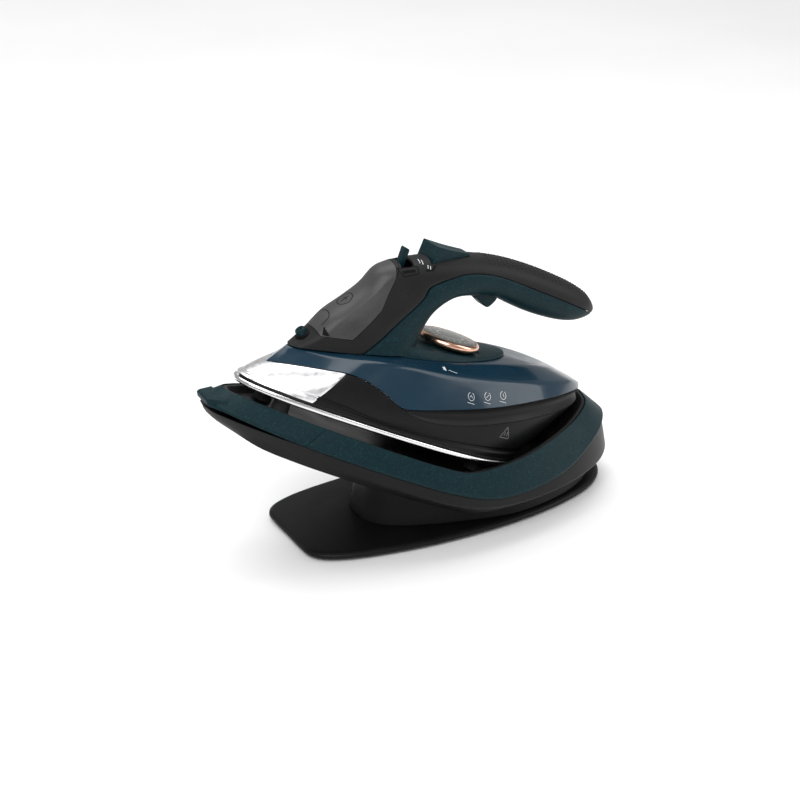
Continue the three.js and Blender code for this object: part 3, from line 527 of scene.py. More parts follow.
def smoky_tank():
    """Smoky blue clear plastic, dark inside, with a glossy skin."""
    material, tree, surface = shader("tank_plastic", (0.004, 0.02, 0.036), 0.2, coat=0.25,
                                     coat_roughness=0.06, specular=0.25)
    depth = grain(tree, 18, detail=3)
    tree.links.new(ramp(tree, depth, [(0.3, (0.0035, 0.019, 0.035)), (0.7, (0.0065, 0.027, 0.048))]),
                   surface.inputs["Base Color"])
    tree.links.new(spread(tree, grain(tree, 120), 0.16, 0.24), surface.inputs["Roughness"])
    return material


MATERIALS = {
    "teal_plastic": teal_paint(),
    "black_plastic": plastic("black_plastic", (0.003, 0.003, 0.0033), (0.007, 0.007, 0.0075), 0.42,
                             specular=0.16),
    "grey_plastic": plastic("grey_plastic", (0.0055, 0.0055, 0.006), (0.0115, 0.0115, 0.012), 0.5, bump=0.1,
                            specular=0.2),
    # Door grey: the door's own lighter grey, raised further as a painted sheen that stands in for the key light's
    # reflection on its front facet.
    "door_plastic": plastic("door_plastic", (0.034, 0.034, 0.035), (0.05, 0.05, 0.051), 0.42, bump=0.08,
                            specular=0.3),
    "tank_plastic": smoky_tank(),
    "steel": metal("steel", (0.82, 0.82, 0.83), 0.16, stretch=(1, 14, 1)),
    "chrome": metal("chrome", (0.95, 0.95, 0.96), 0.3, scale=250, bump=0.0),
    "copper": metal("copper", (0.85, 0.5, 0.36), 0.2, scale=900),
    "dial_face": plastic("dial_face", (0.075, 0.073, 0.062), (0.12, 0.117, 0.1), 0.34, coat=0.3),
    "brass": metal("brass", (0.78, 0.58, 0.25), 0.22),
    "cast_alloy": metal("cast_alloy", (0.5, 0.5, 0.52), 0.5, scale=1200, bump=0.3),
    "rubber": plastic("rubber", (0.008, 0.008, 0.008), (0.016, 0.016, 0.016), 0.75, bump=0.15),
    "clear_plastic": plastic("clear_plastic", (0.6, 0.62, 0.63), (0.72, 0.74, 0.75), 0.35),
}
PRINT_WHITE = plastic("print_white", (0.55, 0.57, 0.58), (0.68, 0.7, 0.71), 0.45)
PRINT_GREY = plastic("print_grey", (0.09, 0.09, 0.092), (0.13, 0.13, 0.132), 0.45)
# Near-black for dark seams and moulded marks, also used as painted shade in the recess round the nozzle's foot.
SEAM_AND_SHADE_BLACK = plastic("seam_and_shade_black", (0.0012, 0.0012, 0.0013), (0.003, 0.003, 0.003), 0.6, specular=0.1)


def finish(piece, slot, body, *nodes):
    """Gives a piece its material, its body and the CAD nodes that it stands for."""
    piece.data.materials.clear()
    piece.data.materials.append(MATERIALS[slot])
    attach(piece, body)
    if nodes:
        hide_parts(*nodes)
    return piece


# ---------------------------------------------------------------- soleplate
sole_ring = ring(SOLE_OUTLINE)


def soleplate():
    rails = [offset(sole_ring, 2.2), offset(sole_ring, 0.9, 0.1), offset(sole_ring, 0, 1.2),
             offset(sole_ring, 0, 3.1), offset(sole_ring, 0.8, SOLE_THICKNESS)]
    plate = skin("soleplate_fine", rounded(rails, [0, 0.5, 0.6, 0.5, 0]))
    for along, half in [(14, 5), (30, 15), (48, 24), (68, 32), (90, 39), (112, 44), (134, 47), (156, 46)]:
        for side in (-1, 1):
            cut(plate, rod("vent", (along, side * half, -1), (along, side * half, 1.8), 1.7, 20))
    return finish(soften(plate, 0.25), "steel", "iron", "soleplate")


# ---------------------------------------------------------------- chrome nose, skirt and band
skirt_lip = offset(sole_ring, 1.4, SKIRT_BOTTOM)
skirt_top = ring(SKIRT_TOP)


def along_side(share, inset=0):
    """Rail part of the way up the skirt's side."""
    return offset(skirt_lip + (skirt_top - skirt_lip) * share, inset)


def skirt_ring(name):
    """Thin-walled skirt with a bead and a groove along its lower edge."""
    rails = [skirt_lip, along_side(0.1, -0.35), along_side(0.14, 0.75), along_side(0.2, 0.75),
             along_side(0.23, -0.3), along_side(0.6, -1.1), skirt_top,
             offset(skirt_top, WALL, -0.3), offset(skirt_lip, WALL)]
    return skin(name, rounded(rails, [0.3, 0.4, 0.3, 0.3, 0.5, 14, 0.5, 0.3, 0.3], 4, True), looped=True)


def ahead_of_chrome_seam(shift):
    return slab("seam", [(-40, -5), (CHROME_SEAM[0][0] + shift, -5), (CHROME_SEAM[1][0] + shift, 40),
                         (-40, 40)], 90)


def nose_cover():
    cover = keep(skirt_ring("nose_cover_fine"), ahead_of_chrome_seam(0))
    return finish(soften(cover, 0.2), "chrome", "iron", "nose_cover")


def skirt():
    body = cut(skirt_ring("skirt_fine"), ahead_of_chrome_seam(GAP),
               block("window", (-9, -17, -9), (9, 17, 9), lean=HEEL_MIDDLE))
    return finish(soften(body, 0.2), "black_plastic", "iron", "skirt")


tank_edge = ring(TANK_EDGE)
tank_crease = ring(TANK_CREASE)
tank_crown = ring(TANK_CROWN)
tank_seam = ring(TANK_SEAM)
BAND_START = 0.34               # share of the side at which the band begins
BAND_DEPTH = 5                  # thickness of the band, enough for its hollow face


def tank_band():
    """Dark hollow strip under the tank's tail."""
    lower = offset(skirt_top, 0.4, 0.15)
    start = int(SIDE * BAND_START)
    sections = []
    for i in range(start, 2 * SIDE - start + 1):
        low = lower[i]
        high = tank_edge[i] * (1, 1, 0) + (0, 0, max(tank_edge[i][2] - GAP, low[2] + 0.2))
        inner_low = offset(lower, BAND_DEPTH)[i]
        inner_high = offset(tank_edge, BAND_DEPTH)[i] * (1, 1, 0) + (0, 0, high[2])
        hollow = min(2.8, 0.25 * (high[2] - low[2]))
        inward = (inner_low - low) / BAND_DEPTH
        bend = [low + (high - low) * t + inward * hollow * math.sin(math.pi * t)
                for t in np.linspace(0, 1, 7)]
        sections.append(np.array(bend + [inner_high, inner_low]))
    strip = open_strip("tank_band_fine", sections)
    return finish(strip, "black_plastic", "iron", "tank_band")


def open_strip(name, sections):
    """Closed bar through equal sections, ended by flat faces."""
    count = len(sections[0])
    faces = []
    for j in range(len(sections) - 1):
        for i in range(count):
            k = (i + 1) % count
            faces.append((j * count + i, j * count + k, (j + 1) * count + k, (j + 1) * count + i))
    last = (len(sections) - 1) * count
    faces += [tuple(range(count)), tuple(range(last, last + count))]
    return make(name, leaning(np.vstack(sections)), faces)


# ---------------------------------------------------------------- tank
def on_dial(height):
    """Point on the dial's axis."""
    return np.array([DIAL_R - math.sin(DIAL_TILT) * height, 0, DIAL_S + math.cos(DIAL_TILT) * height])


def valve_hole():
    return rod("hole", (VALVE_R, 0, 10), (VALVE_R, 0, 80), VALVE_RADIUS)


def shaft_hole():
    return rod("hole", on_dial(-60), on_dial(10), SHAFT_RADIUS)


def tank_block(name, rise):
    """Solid of the tank's outside, raised by a distance, which trims what stands on it."""
    return skin(name, [offset(tank_edge, 0, -8), offset(tank_edge, 0, rise), offset(tank_crease, 0, rise),
                       offset(tank_crown, 0, rise), offset(tank_seam, 0, rise)])


def water_tank():
    rails = [offset(tank_seam, WALL, -WALL), offset(tank_crown, WALL, -WALL),
             offset(tank_crease, WALL, -WALL / 2), offset(tank_edge, WALL), tank_edge, tank_crease,
             tank_crown, tank_seam]
    shell = skin("water_tank_fine", rounded(rails, [0, 4, 2, 0.3, 0.5, 3.2, 9, 0], 6))
    cut(shell, valve_hole(), rod("hole", (FILL_R, 0, 20), (FILL_R, 0, 90), FILL_RADIUS + GAP),
        shaft_hole())
    return finish(shell, "tank_plastic", "iron", "water_tank")


# ---------------------------------------------------------------- handle
def form_curve(front, side, count=40):
    """Half profile sampled over its share: the facet up to the crease share, then the side."""
    facet = smooth(front, count + 1)
    flank = smooth(side, 2 * count + 1)
    shares = np.concatenate([np.linspace(0, CREASE_SHARE, count + 1),
                             np.linspace(CREASE_SHARE, 1, 2 * count + 1)[1:]])
    return shares, np.vstack([facet, flank[1:]])


def arm_curve(shares):
    angles = math.pi * shares
    depth = np.sign(np.cos(angles)) * np.abs(np.cos(angles)) ** ARM_BLUNTNESS
    return np.column_stack([(1 - depth) / 2, np.abs(np.sin(angles)) ** ARM_BLUNTNESS])


SHARES, COLUMN_FORM = form_curve(COLUMN_FRONT, COLUMN_SIDE)
_, FOOT_FORM = form_curve(FOOT_FRONT, FOOT_SIDE)
FORMS = [FOOT_FORM, COLUMN_FORM, arm_curve(SHARES)]
handle_stations = smooth(HANDLE, STATIONS)


def profile(station):
    """Half profile of a station over SHARES: share of the depth, share of the half width."""
    form = min(max(station[6], 0), 2)
    lower = min(int(form), 1)
    return FORMS[lower] + (FORMS[lower + 1] - FORMS[lower]) * (form - lower)


def handle_points(station, places, thinner=0.0):
    """Points of a section; a place runs from 0 at the front to 1 at the back, negative on the far side."""
    shape = profile(station)
    places = np.asarray(places, float)
    depth = np.interp(np.abs(places), SHARES, shape[:, 0])
    half = np.interp(np.abs(places), SHARES, shape[:, 1])
    front = station[0:2]
    back = station[2:4]
    reach = np.linalg.norm(back - front) / 2
    forward = (back - front) / (2 * reach)
    along = (2 * depth - 1) * (reach - thinner)
    middle = (front + back) / 2
    across = -np.sign(places) * half * (station[4] - thinner)
    return np.column_stack([middle[0] + forward[0] * along, across, middle[1] + forward[1] * along])


def split_place(station):
    """Place at which a section has reached its split between the shells."""
    return float(np.interp(station[5], profile(station)[:, 0], SHARES))


EDGE_SOFT = np.array([0.45, 0.18, 0.04])    # inset of the last points before a seam


def handle_half(name, upper):
    """Thin-walled half of the handle."""
    rings = []
    for station in handle_stations:
        edge = split_place(station)
        seam = 0.25 * GAP / max(station[4], 14)
        if upper:
            facet = np.linspace(0, CREASE_SHARE, 15)
            side = np.concatenate([facet, np.linspace(CREASE_SHARE, edge - seam, 22)[1:]])
            places = np.concatenate([-side[:0:-1], side])
        else:
            side = 1 - np.linspace(0, 1 - edge - seam, 30)
            places = np.concatenate([side[::-1], -side[1:]])
        soft = np.zeros(len(places))
        soft[:3] = EDGE_SOFT
        soft[-3:] = EDGE_SOFT[::-1]
        depth = np.linalg.norm(station[2:4] - station[0:2])
        wall = min(max(HANDLE_WALL, 13 - station[4]), 0.62 * station[4], 0.3 * depth)
        soft *= wall / HANDLE_WALL
        rings.append(np.vstack([handle_points(station, places, soft),
                                handle_points(station, places, wall)[::-1]]))
    return skin(name, rings, pair_shift=1)


def door_block(name, grow):
    """Solid that holds the filling door, grown by a distance towards the rear and below."""
    outline = [(r + (grow if i > 2 else -grow), s - grow) for i, (r, s) in enumerate(DOOR_OUTLINE)]
    return slab(name, outline, 60)


NOZZLE_ROOT = np.array([32.5, 0, 44.5])
NOZZLE_AXIS = np.array([-0.8, 0, 0.6])
NOZZLE_RADIUS = 4


def on_nozzle(distance):
    return NOZZLE_ROOT + NOZZLE_AXIS * distance


def button_block(name, front, rear):
    """Tapered block: each end is (along, half, low, high)."""
    rings = [np.array([(r, -half, low), (r, half, low), (r, half, high), (r, -half, high)])
             for r, half, low, high in (front, rear)]
    return skin(name, rings, pair_shift=1)


def handle_pieces():
    upper = handle_half("handle_shell_fine", True)
    door = twin(upper, "fill_door_fine")
    cut(upper, tank_block("tank", GAP), door_block("door", GAP),
        rod("nozzle", on_nozzle(-8), on_nozzle(8), NOZZLE_RADIUS + GAP),
        button_block("well", (103.3, 12, 112, 140), (135, 6.8, 124, 141)),
        block("slot", (82, -11, 104), (91, 11, 125)))
    keep(door, door_block("door", 0))
    soften(upper, 0.35)
    soften(door, 0.4)
    finish(upper, "grey_plastic", "iron", "handle_shell")
    finish(door, "door_plastic", "fill_door", "fill_door")
    return upper, door


def dial_housing(name):
    foot = ring(HOUSING_BASE)
    tank_top = 50 + (foot[:, 0] - 100) * 0.14
    rise = (foot[:, 0] - DIAL_R) * math.tan(DIAL_TILT) + np.maximum(0, foot[:, 0] - DIAL_R - 8) * 0.1
    top = DIAL_S - 5.5 + rise
    inside = offset(foot, WALL)
    rails = [offset(inside, 4, top - WALL), offset(inside, 0, tank_top), offset(foot, 0, tank_top),
             offset(foot, 0.8, (tank_top + top) / 2), offset(foot, 4.2, top)]
    return skin(name, rounded(rails, [0, 1, 0, 6, 0], 6))


def column_block(name, grow):
    """Solid of the column's full sections, grown by a distance."""
    places = np.concatenate([np.linspace(0, 1, 31), np.linspace(-1, 0, 31)[1:-1]])
    rings = [handle_points(station, places, -grow) for station in handle_stations[:STATIONS // 2:3]]
    return skin(name, rings)


def underside():
    lower = handle_half("handle_underside_fine", False)
    join(lower, cut(dial_housing("housing"), column_block("column", -1.3)))
    cut(lower, tank_block("tank", GAP), rod("well", on_dial(-4.6), on_dial(12), DIAL_RADIUS + 0.8, 96),
        block("well", (144.5, -7.3, 96), (176, 7.3, 117)), valve_hole(), shaft_hole())
    soften(lower, 0.35)
    return finish(lower, "teal_plastic", "iron", "handle_underside")


# ---------------------------------------------------------------- dial
def dial():
    knob = [(0, -4), (DIAL_RADIUS - 5, -4), (DIAL_RADIUS - 3.2, -1), (DIAL_RADIUS - 3.2, 1.4),
            (DIAL_RADIUS - 3.6, 1.9), (DIAL_RADIUS - 4.6, 2.2), (DIAL_RADIUS - 8, 2.35), (8, 2.6), (0, 2.8)]
    rim = [(DIAL_RADIUS - 2.9, -3.2), (DIAL_RADIUS - 1.6, -3.4), (DIAL_RADIUS - 0.7, -2.7),
           (DIAL_RADIUS - 0.1, -1.4), (DIAL_RADIUS - 0.05, -0.3), (DIAL_RADIUS - 0.6, 0.9),
           (DIAL_RADIUS - 1.3, 1.7), (DIAL_RADIUS - 2.2, 2), (DIAL_RADIUS - 2.9, 1.7)]
    face = turned("dial_knob_fine", on_dial(0), on_dial(1), knob, 96)
    finish(face, "dial_face", "dial", "dial_knob")
    finish(turned("dial_ring_fine", on_dial(0), on_dial(1), rim, 96), "copper", "dial", "dial_ring")
    return face


# ---------------------------------------------------------------- controls
def thumb_button():
    """Wedge with a hollow front face and a saddle top that runs down to the handle."""
    columns = 13
    rows = 15
    points = []
    for i in range(rows):
        t = i / (rows - 1)
        half = 11.4 - 5.2 * t ** 1.3
        high = 132.8 + 2 * t - 0.5 * math.sin(math.pi * t)
        low = 118 + 11 * t
        for j in range(columns):
            w = 2 * j / (columns - 1) - 1
            hollow = 0.6 * (1 - w * w) * (1 - t)
            points.append((104 + 30.4 * t + hollow, half * w, high - 0.4 * (1 - w * w) * (1 - t)))
        for j in range(columns):
            w = 1 - 2 * j / (columns - 1)
            hollow = 0.6 * (1 - w * w) * (1 - t)
            points.append((104 + 30.4 * t + hollow, half * w, low))
    count = 2 * columns
    rings = [np.array(points[k * count:(k + 1) * count]) for k in range(rows)]
    wedge = skin("thumb_button_fine", rings, pair_shift=1)
    return finish(soften(wedge, 0.5, 3, 50), "teal_plastic", "thumb_button", "thumb_button")


def steam_lever():
    tab = slab("steam_lever_fine", [(84, 106.5), (88.4, 106.5), (87.8, 114), (87.6, 122.6), (86.9, 123.6),
                                    (84.3, 124), (83.8, 123.2), (84.4, 114)], 3.2)
    arm = block("arm", (84, -3.2, 105), (VALVE_R + 4, 3.2, 108))
    join(tab, arm)
    return finish(soften(tab, 0.6, 3), "teal_plastic", "steam_lever", "steam_lever")


def trigger():
    blade = smooth([(146.5, 109.5), (151, 106), (158, 104.4), (163.5, 102), (167, 101.4), (169, 103),
                    (172, 109), (172, 114.5)], 22).tolist()
    piece = slab("trigger_fine", blade + [(146.5, 115.2)], 6.6)
    pin = rod("bore", (151.5, -9, 112.5), (151.5, 9, 112.5), 1.8)
    return finish(cut(soften(piece, 1.3, 4), pin), "teal_plastic", "trigger", "trigger")


def spray_nozzle():
    profile_points = [(0, -7), (NOZZLE_RADIUS, -7), (NOZZLE_RADIUS, 2.2), (3.9, 3), (3.5, 3.7),
                      (2.8, 4), (2.2, 3.8), (1.6, 2.6), (1.1, 2.2), (0, 2.1)]
    piece = turned("spray_nozzle_fine", on_nozzle(0), on_nozzle(1), profile_points, 48)
    return finish(piece, "teal_plastic", "iron", "spray_nozzle")


# ---------------------------------------------------------------- cradle
rim_inner = ring(RIM_INNER)
rim_outer = ring(RIM_OUTER)


def rim_body(name):
    rails = [rim_inner, rim_outer, offset(rim_outer, 0, -FACET), offset(rim_outer, 3.5, -FACET),
             offset(rim_inner, -0.2, -4.5)]
    return skin(name, rounded(rails, [0.7, 0.8, 0.5, 0, 0], 4, True), looped=True)


def ahead_of_lever_seam(shift):
    low, high = LEVER_SEAM[1], LEVER_SEAM[0]
    return slab("seam", [(-60, -60), (low[0] + shift - 24, -60), (low[0] + shift, low[1]),
                         (high[0] + shift, high[1]), (high[0] + shift, 12), (-60, 12)], 120)


def lever_tab():
    """Trapezoid thumb tab with a bevelled front."""
    rings = [np.array(points) for points in (
        [(-23.5, -9, -16.5), (-23.5, 9, -16.5), (-21, 9.5, -20), (-21, -9.5, -20)],
        [(-22, -9.5, -14.6), (-22, 9.5, -14.6), (-17, 11, -20.4), (-17, -11, -20.4)],
        [(-10.5, -15, -11.6), (-10.5, 15, -11.6), (-12, 16.5, -20.2), (-12, -16.5, -20.2)])]
    return soften(skin("tab", rings, pair_shift=1), 0.9, 3, 25)


def lock_lever():
    lever = keep(rim_body("lock_lever_fine"), ahead_of_lever_seam(0))
    well = skin("well", [offset(rim_inner, -0.2, -60), offset(rim_inner, -0.2, 60)])
    join(lever, cut(lever_tab(), well))
    return finish(soften(lever, 0.25), "teal_plastic", "lock_lever", "lock_lever")


def cradle_rim():
    rim = cut(rim_body("cradle_rim_fine"), ahead_of_lever_seam(GAP))
    return finish(soften(rim, 0.25), "teal_plastic", "base", "cradle_rim")


def cradle_tray():
    floor = ring(TRAY_FLOOR)
    rails = [offset(floor, 2.5), offset(rim_inner, 3, -0.8), offset(rim_inner, GAP + 0.2, -0.8),
             offset(floor, 0, -2.5)]
    tray = skin("cradle_tray_fine", rounded(rails, [0, 0.5, 0.3, 0]))
    cut(tray, block("window", (-14, -18.5, -12), (6, 18.5, 12), lean=CONNECTOR_MIDDLE))
    for side in (-1, 1):
        middle = side * 27
        boss = block("boss", (34, middle - 3, -21.5), (42, middle + 3, -13))
        cut(boss, rod("bore", (38, middle - 5, -18), (38, middle + 5, -18), 1.8))
        join(tray, boss)
    return finish(soften(tray, 0.4), "black_plastic", "base", "cradle_tray")


def cradle_shell():
    lever_room = np.where(rim_outer[:, 0] < 38, 3.2 * (38 - rim_outer[:, 0]) / 58, 0)
    top = offset(rim_outer, 0.6, -FACET - GAP - lever_room)
    crease = ring(SHELL_CREASE)
    bottom = ring(SHELL_BOTTOM)
    rails = [offset(bottom, WALL, WALL), offset(crease, WALL, 0.8), offset(top, WALL), top, crease, bottom]
    shell = skin("cradle_shell_fine", rounded(rails, [0, 1, 0.3, 0.6, 2.2, 0], 5))
    return finish(shell, "black_plastic", "base", "cradle_shell")


# ---------------------------------------------------------------- pedestal and plate
def standing(outline):
    return ring([(x + FLOOR_SHIFT, half) for x, half in outline])


def foot_plate():
    edge = standing(PLATE_OUTLINE)
    rails = [offset(edge, 2.2, PLATE_BOTTOM), offset(edge, 0, PLATE_BOTTOM + 1.5),
             offset(edge, 0, PLATE_TOP - 1.8), offset(edge, 2.6, PLATE_TOP - 0.1), offset(edge, 8, PLATE_TOP)]
    plate = skin("foot_plate_fine", rounded(rails, [0, 0.6, 0.8, 1.2, 0]), place=level)
    return finish(plate, "black_plastic", "base", "foot_plate")


def under_shell(name, clearance):
    """Everything above the shell's underside."""
    bottom = offset(ring(SHELL_BOTTOM), 0, -clearance)
    return skin(name, [bottom, bottom * (1, 1.3, 1) + (60, 0, 190)])


def pedestal():
    edge = standing(PEDESTAL_OUTLINE)
    rails = [offset(edge, 0, PLATE_TOP + GAP), offset(edge, 3, PLATE_TOP + 12),
             offset(edge, PEDESTAL_LEAN, PEDESTAL_TOP)]
    outer = skin("pedestal_fine", rounded(rails, [0, 8, 0], 8), place=level)
    inner = skin("inner", [offset(edge, 3.2, PLATE_TOP - 2), offset(edge, 6.2, PLATE_TOP + 12),
                           offset(edge, PEDESTAL_LEAN + 3.2, PEDESTAL_TOP + 5)], place=level)
    rear = PEDESTAL_OUTLINE[-1][0] + FLOOR_SHIFT
    gland = rod("gland", (rear - 14, 0, GLAND_HEIGHT), (rear + 12, 0, GLAND_HEIGHT), 3.6 + GAP, place=level)
    cut(outer, under_shell("shell", GAP), inner, gland)
    return finish(soften(outer, 0.3), "black_plastic", "base", "pedestal")


# ---------------------------------------------------------------- seams, grips and printed marks
def surface_of(piece):
    """Search tree of a piece's surface, with points in the iron's millimetres."""
    world = np.array([tuple(vertex.co) for vertex in piece.data.vertices]) / MM - TIP
    points = np.column_stack([world @ ALONG, world @ ACROSS, world @ UP])
    faces = [tuple(polygon.vertices) for polygon in piece.data.polygons]
    return BVHTree.FromPolygons([tuple(p) for p in points], faces)


def drop(tree, start, direction):
    """Point and outward normal where a line first meets a surface."""
    point, normal, _, _ = tree.ray_cast(Vector(start), Vector(direction))
    if point is None:
        return None
    normal = np.array(normal)
    if normal @ np.array(direction, float) > 0:
        normal = -normal
    return np.array(point), normal


STROKE_STEP = 0.7               # spacing of the points along a printed or moulded stroke


def lay_strip(name, hits, width, rise, depth, closed=False):
    """Thin bar along surface points and their normals."""
    points = np.array([point for point, _ in hits])
    normals = np.array([normal for _, normal in hits])
    if closed:
        forward = np.roll(points, -1, axis=0) - np.roll(points, 1, axis=0)
    else:
        forward = np.gradient(points, axis=0)
    across = np.cross(normals, forward)
    across /= np.maximum(np.linalg.norm(across, axis=1), 1e-6)[:, None]
    half = across * width / 2
    sections = [np.array(section) for section in zip(
        points - half - normals * depth, points + half - normals * depth,
        points + half + normals * rise, points - half + normals * rise)]
    if closed:
        return skin(name, sections, looped=True)
    return open_strip(name, sections)


def ribbon(name, tree, path, width, rise=0.06, depth=0.3, closed=False, down=False, side=-1):
    """Thin bar laid on a surface along a path of (along, above) points seen from one side, or
    (along, across) points seen from above."""
    path = np.array(path, float)
    if closed:
        path = np.vstack([path, path[:1]])
    path = evenly(path, max(6, int(distances(path)[-1] / STROKE_STEP)))
    hits = []
    for a, b in path[:-1] if closed else path:
        start, direction = ((a, b, 300), (0, 0, -1)) if down else ((a, side * 120, b), (0, -side, 0))
        hit = drop(tree, start, direction)
        if hit is not None:
            hits.append(hit)
    if len(hits) < 4:
        return None
    return lay_strip(name, hits, width, rise, depth, closed)


def ribbons(name, tree, lines, side=-1):
    """Ribbons along several lines, each a path and its width."""
    return [ribbon(name, tree, path, width, side=side) for path, width in lines]


def circle_path(middle, radius, start=0, end=360):
    """Points round a circle between two angles in degrees."""
    angles = np.radians(np.linspace(start, end, 33))
    return np.column_stack([middle[0] + radius * np.cos(angles), middle[1] + radius * np.sin(angles)])


def merged(name, pieces):
    """One object from several loose pieces."""
    pieces = [piece for piece in pieces if piece is not None]
    first = pieces[0]
    work = bmesh.new()
    for piece in pieces:
        work.from_mesh(piece.data)
    work.to_mesh(first.data)
    work.free()
    for piece in pieces[1:]:
        bpy.data.objects.remove(piece)
    first.name = name
    tidy_mesh(first)
    return first


def mark(piece, material, body, node, slot):
    """Finishes a printed or moulded mark that belongs to a CAD node."""
    finish(piece, slot, body, node)
    piece.data.materials[0] = material
    return piece


TANK_ICONS = [(150.5, 44), (164, 47.3), (177.5, 50.8)]
ICON_STROKES = [[(-1, -0.6), (0, 1), (1, -0.6)], [(-1, -1), (1, 1)], [(0, 1.2), (0, -0.2), (0.9, -0.8)]]
LEVEL_DOT = (131, 55)
HOT_MARK = (189, 26)
FACET_MARK = (49.8, 79.4)       # middle of the ring on the door's front facet
COLLAR_CLIP = [(79, 109), (93, 115), (94, 111), (84, 105.5)]
COLLAR_LINES = [([(82.5, 108), (91.5, 112)], 2.2), ([(79, 104), (81, 112), (84, 118)], 0.6),
                ([(99, 114.5), (104, 116.2), (106, 119.5)], 1.5)]
STEAM_MARKS = [(96.5, 118.5), (101.5, 117.2)]


def tank_prints(tank):
    """Three plain icons low on the tank's side, and a level dot and line under the dial."""
    tree = surface_of(tank)
    lines = []
    for (r, s), stroke in zip(TANK_ICONS, ICON_STROKES):
        inner = [(r + along, s + above) for along, above in stroke]
        underline = [(r - 2.8, s - 4.2), (r + 2.8, s - 4.2)]
        lines += [(circle_path((r, s), 2.5, 110, 430), 0.3), (inner, 0.3), (underline, 0.3)]
    level_line = [(LEVEL_DOT[0] + 3, LEVEL_DOT[1]), (LEVEL_DOT[0] + 9, LEVEL_DOT[1])]
    lines += [(circle_path(LEVEL_DOT, 0.7), 1.3), (level_line, 0.5)]
    strokes = ribbons("icon", tree, lines)
    return mark(merged("tank_icons", strokes), PRINT_WHITE, "iron", "water_tank", "clear_plastic")


def hot_mark(skirt_piece):
    """Hot surface triangle moulded on the skirt."""
    tree = surface_of(skirt_piece)
    r, s = HOT_MARK
    strokes = [ribbon("hot", tree, [(r - 4.5, s - 4), (r + 4.5, s - 4), (r, s + 4.4)], 0.5, closed=True),
               ribbon("hot", tree, [(r - 1.2, s - 2.4), (r - 0.6, s - 0.8), (r - 1.2, s + 0.6)], 0.45),
               ribbon("hot", tree, [(r + 1.2, s - 2.4), (r + 1.8, s - 0.8), (r + 1.2, s + 0.6)], 0.45)]
    return mark(merged("hot_mark", strokes), PRINT_GREY, "iron", "skirt", "grey_plastic")


def side_seams(shell):
    """Dark seams of the collar and its clip behind the lever, on both sides."""
    tree = surface_of(shell)
    strokes = []
    for side in (-1, 1):
        strokes.append(ribbon("seam", tree, COLLAR_CLIP, 0.7, closed=True, side=side))
        strokes += ribbons("seam", tree, COLLAR_LINES, side)
    return mark(merged("collar_seams", strokes), SEAM_AND_SHADE_BLACK, "iron", "handle_shell", "black_plastic")


def lever_prints(shell):
    """Two small white marks on each side, between the lever and the wedge button."""
    tree = surface_of(shell)
    strokes = []
    for side in (-1, 1):
        for r, s in STEAM_MARKS:
            for shift in (-0.9, 0.9):
                line = [(r + shift, s - 1), (r + shift, s + 1)]
                strokes.append(ribbon("steam", tree, line, 0.5, side=side))
    return mark(merged("steam_marks", strokes), PRINT_WHITE, "iron", "handle_shell", "clear_plastic")


def door_marks(door):
    """Plain ring and, below it, the arched seam round the nozzle on the door's front facet."""
    tree = surface_of(door)
    strokes = []
    lean = np.array([-0.83, 0, 0.56])
    rise = np.array([0.56, 0, 0.83])
    middle = np.array([FACET_MARK[0], 0, FACET_MARK[1]])

    def facing(path, width):
        hits = []
        for across, up in path:
            hit = drop(tree, middle + lean * 60 + rise * up + np.array([0, across, 0]), -lean)
            if hit is not None:
                hits.append(hit)
        if len(hits) < 4:
            return None
        return lay_strip("facet", hits, width, 0.05, 0.3)

    angles = np.radians(np.linspace(0, 360, 61))
    strokes.append(facing([(6 * math.cos(a), 6 * math.sin(a)) for a in angles], 0.6))
    strokes.append(facing([(0, 3.4 - 0.4 * k) for k in range(18)], 0.5))
    strokes.append(facing([(-2.6 + 0.4 * k, 1.6 - abs(-2.6 + 0.4 * k) * 0.8) for k in range(14)], 0.5))
    arch = [(-7.5 * math.cos(a), -20 + 5 * math.sin(a)) for a in np.radians(np.linspace(0, 180, 25))]
    legs = [[(side * 7.5, -20 - 0.6 * k) for k in range(10)] for side in (-1, 1)]
    strokes.append(facing(legs[0][::-1] + arch + legs[1], 0.6))
    return mark(merged("door_marks", strokes), SEAM_AND_SHADE_BLACK, "fill_door", "fill_door", "black_plastic")


GRIP_START = 150
GRIP_ROWS = 24
ROW_SPACING = 4.2
DOT_SPACING = 3


def grip_dots(shell):
    """Rows of small raised dots over the top of the arm."""
    tree = surface_of(shell)
    dots = []
    for i in range(GRIP_ROWS):
        r = GRIP_START + ROW_SPACING * i
        for j in range(-4, 5):
            across = DOT_SPACING * j + (DOT_SPACING / 2 if i % 2 else 0)
            if abs(across) > 13 - max(0, (r - 225) * 0.25):
                continue
            hit = drop(tree, (r, across, 300), (0, 0, -1))
            if hit is None:
                continue
            point, normal = hit
            dots.append(turned("dot", point - normal * 0.3, point + normal,
                               [(0, 0), (0.95, 0), (0.9, 0.45), (0.55, 0.7), (0, 0.75)], 10))
    return mark(merged("grip_dots", dots), MATERIALS["grey_plastic"], "iron", "handle_shell",
                "grey_plastic")


TICK_RADIUS = 16.4              # outer end of the dial's strokes


def dial_ticks(face):
    """Short printed strokes round the dial face."""
    strokes = []
    tree = surface_of(face)
    for k in range(20):
        angle = math.radians(18 * k)
        reach = 3.2 if k % 5 == 0 else 2
        path = [(DIAL_R + d * math.cos(angle), d * math.sin(angle))
                for d in np.linspace(TICK_RADIUS - reach, TICK_RADIUS, 5)]
        strokes.append(ribbon("tick", tree, path, 0.5, rise=0.05, depth=0.2, down=True))
    strokes.append(ribbon("tick", tree, circle_path((DIAL_R, 0), 10), 0.4, rise=0.05, depth=0.2,
                          closed=True, down=True))
    return mark(merged("dial_ticks", strokes), PRINT_WHITE, "dial", "dial_knob", "clear_plastic")


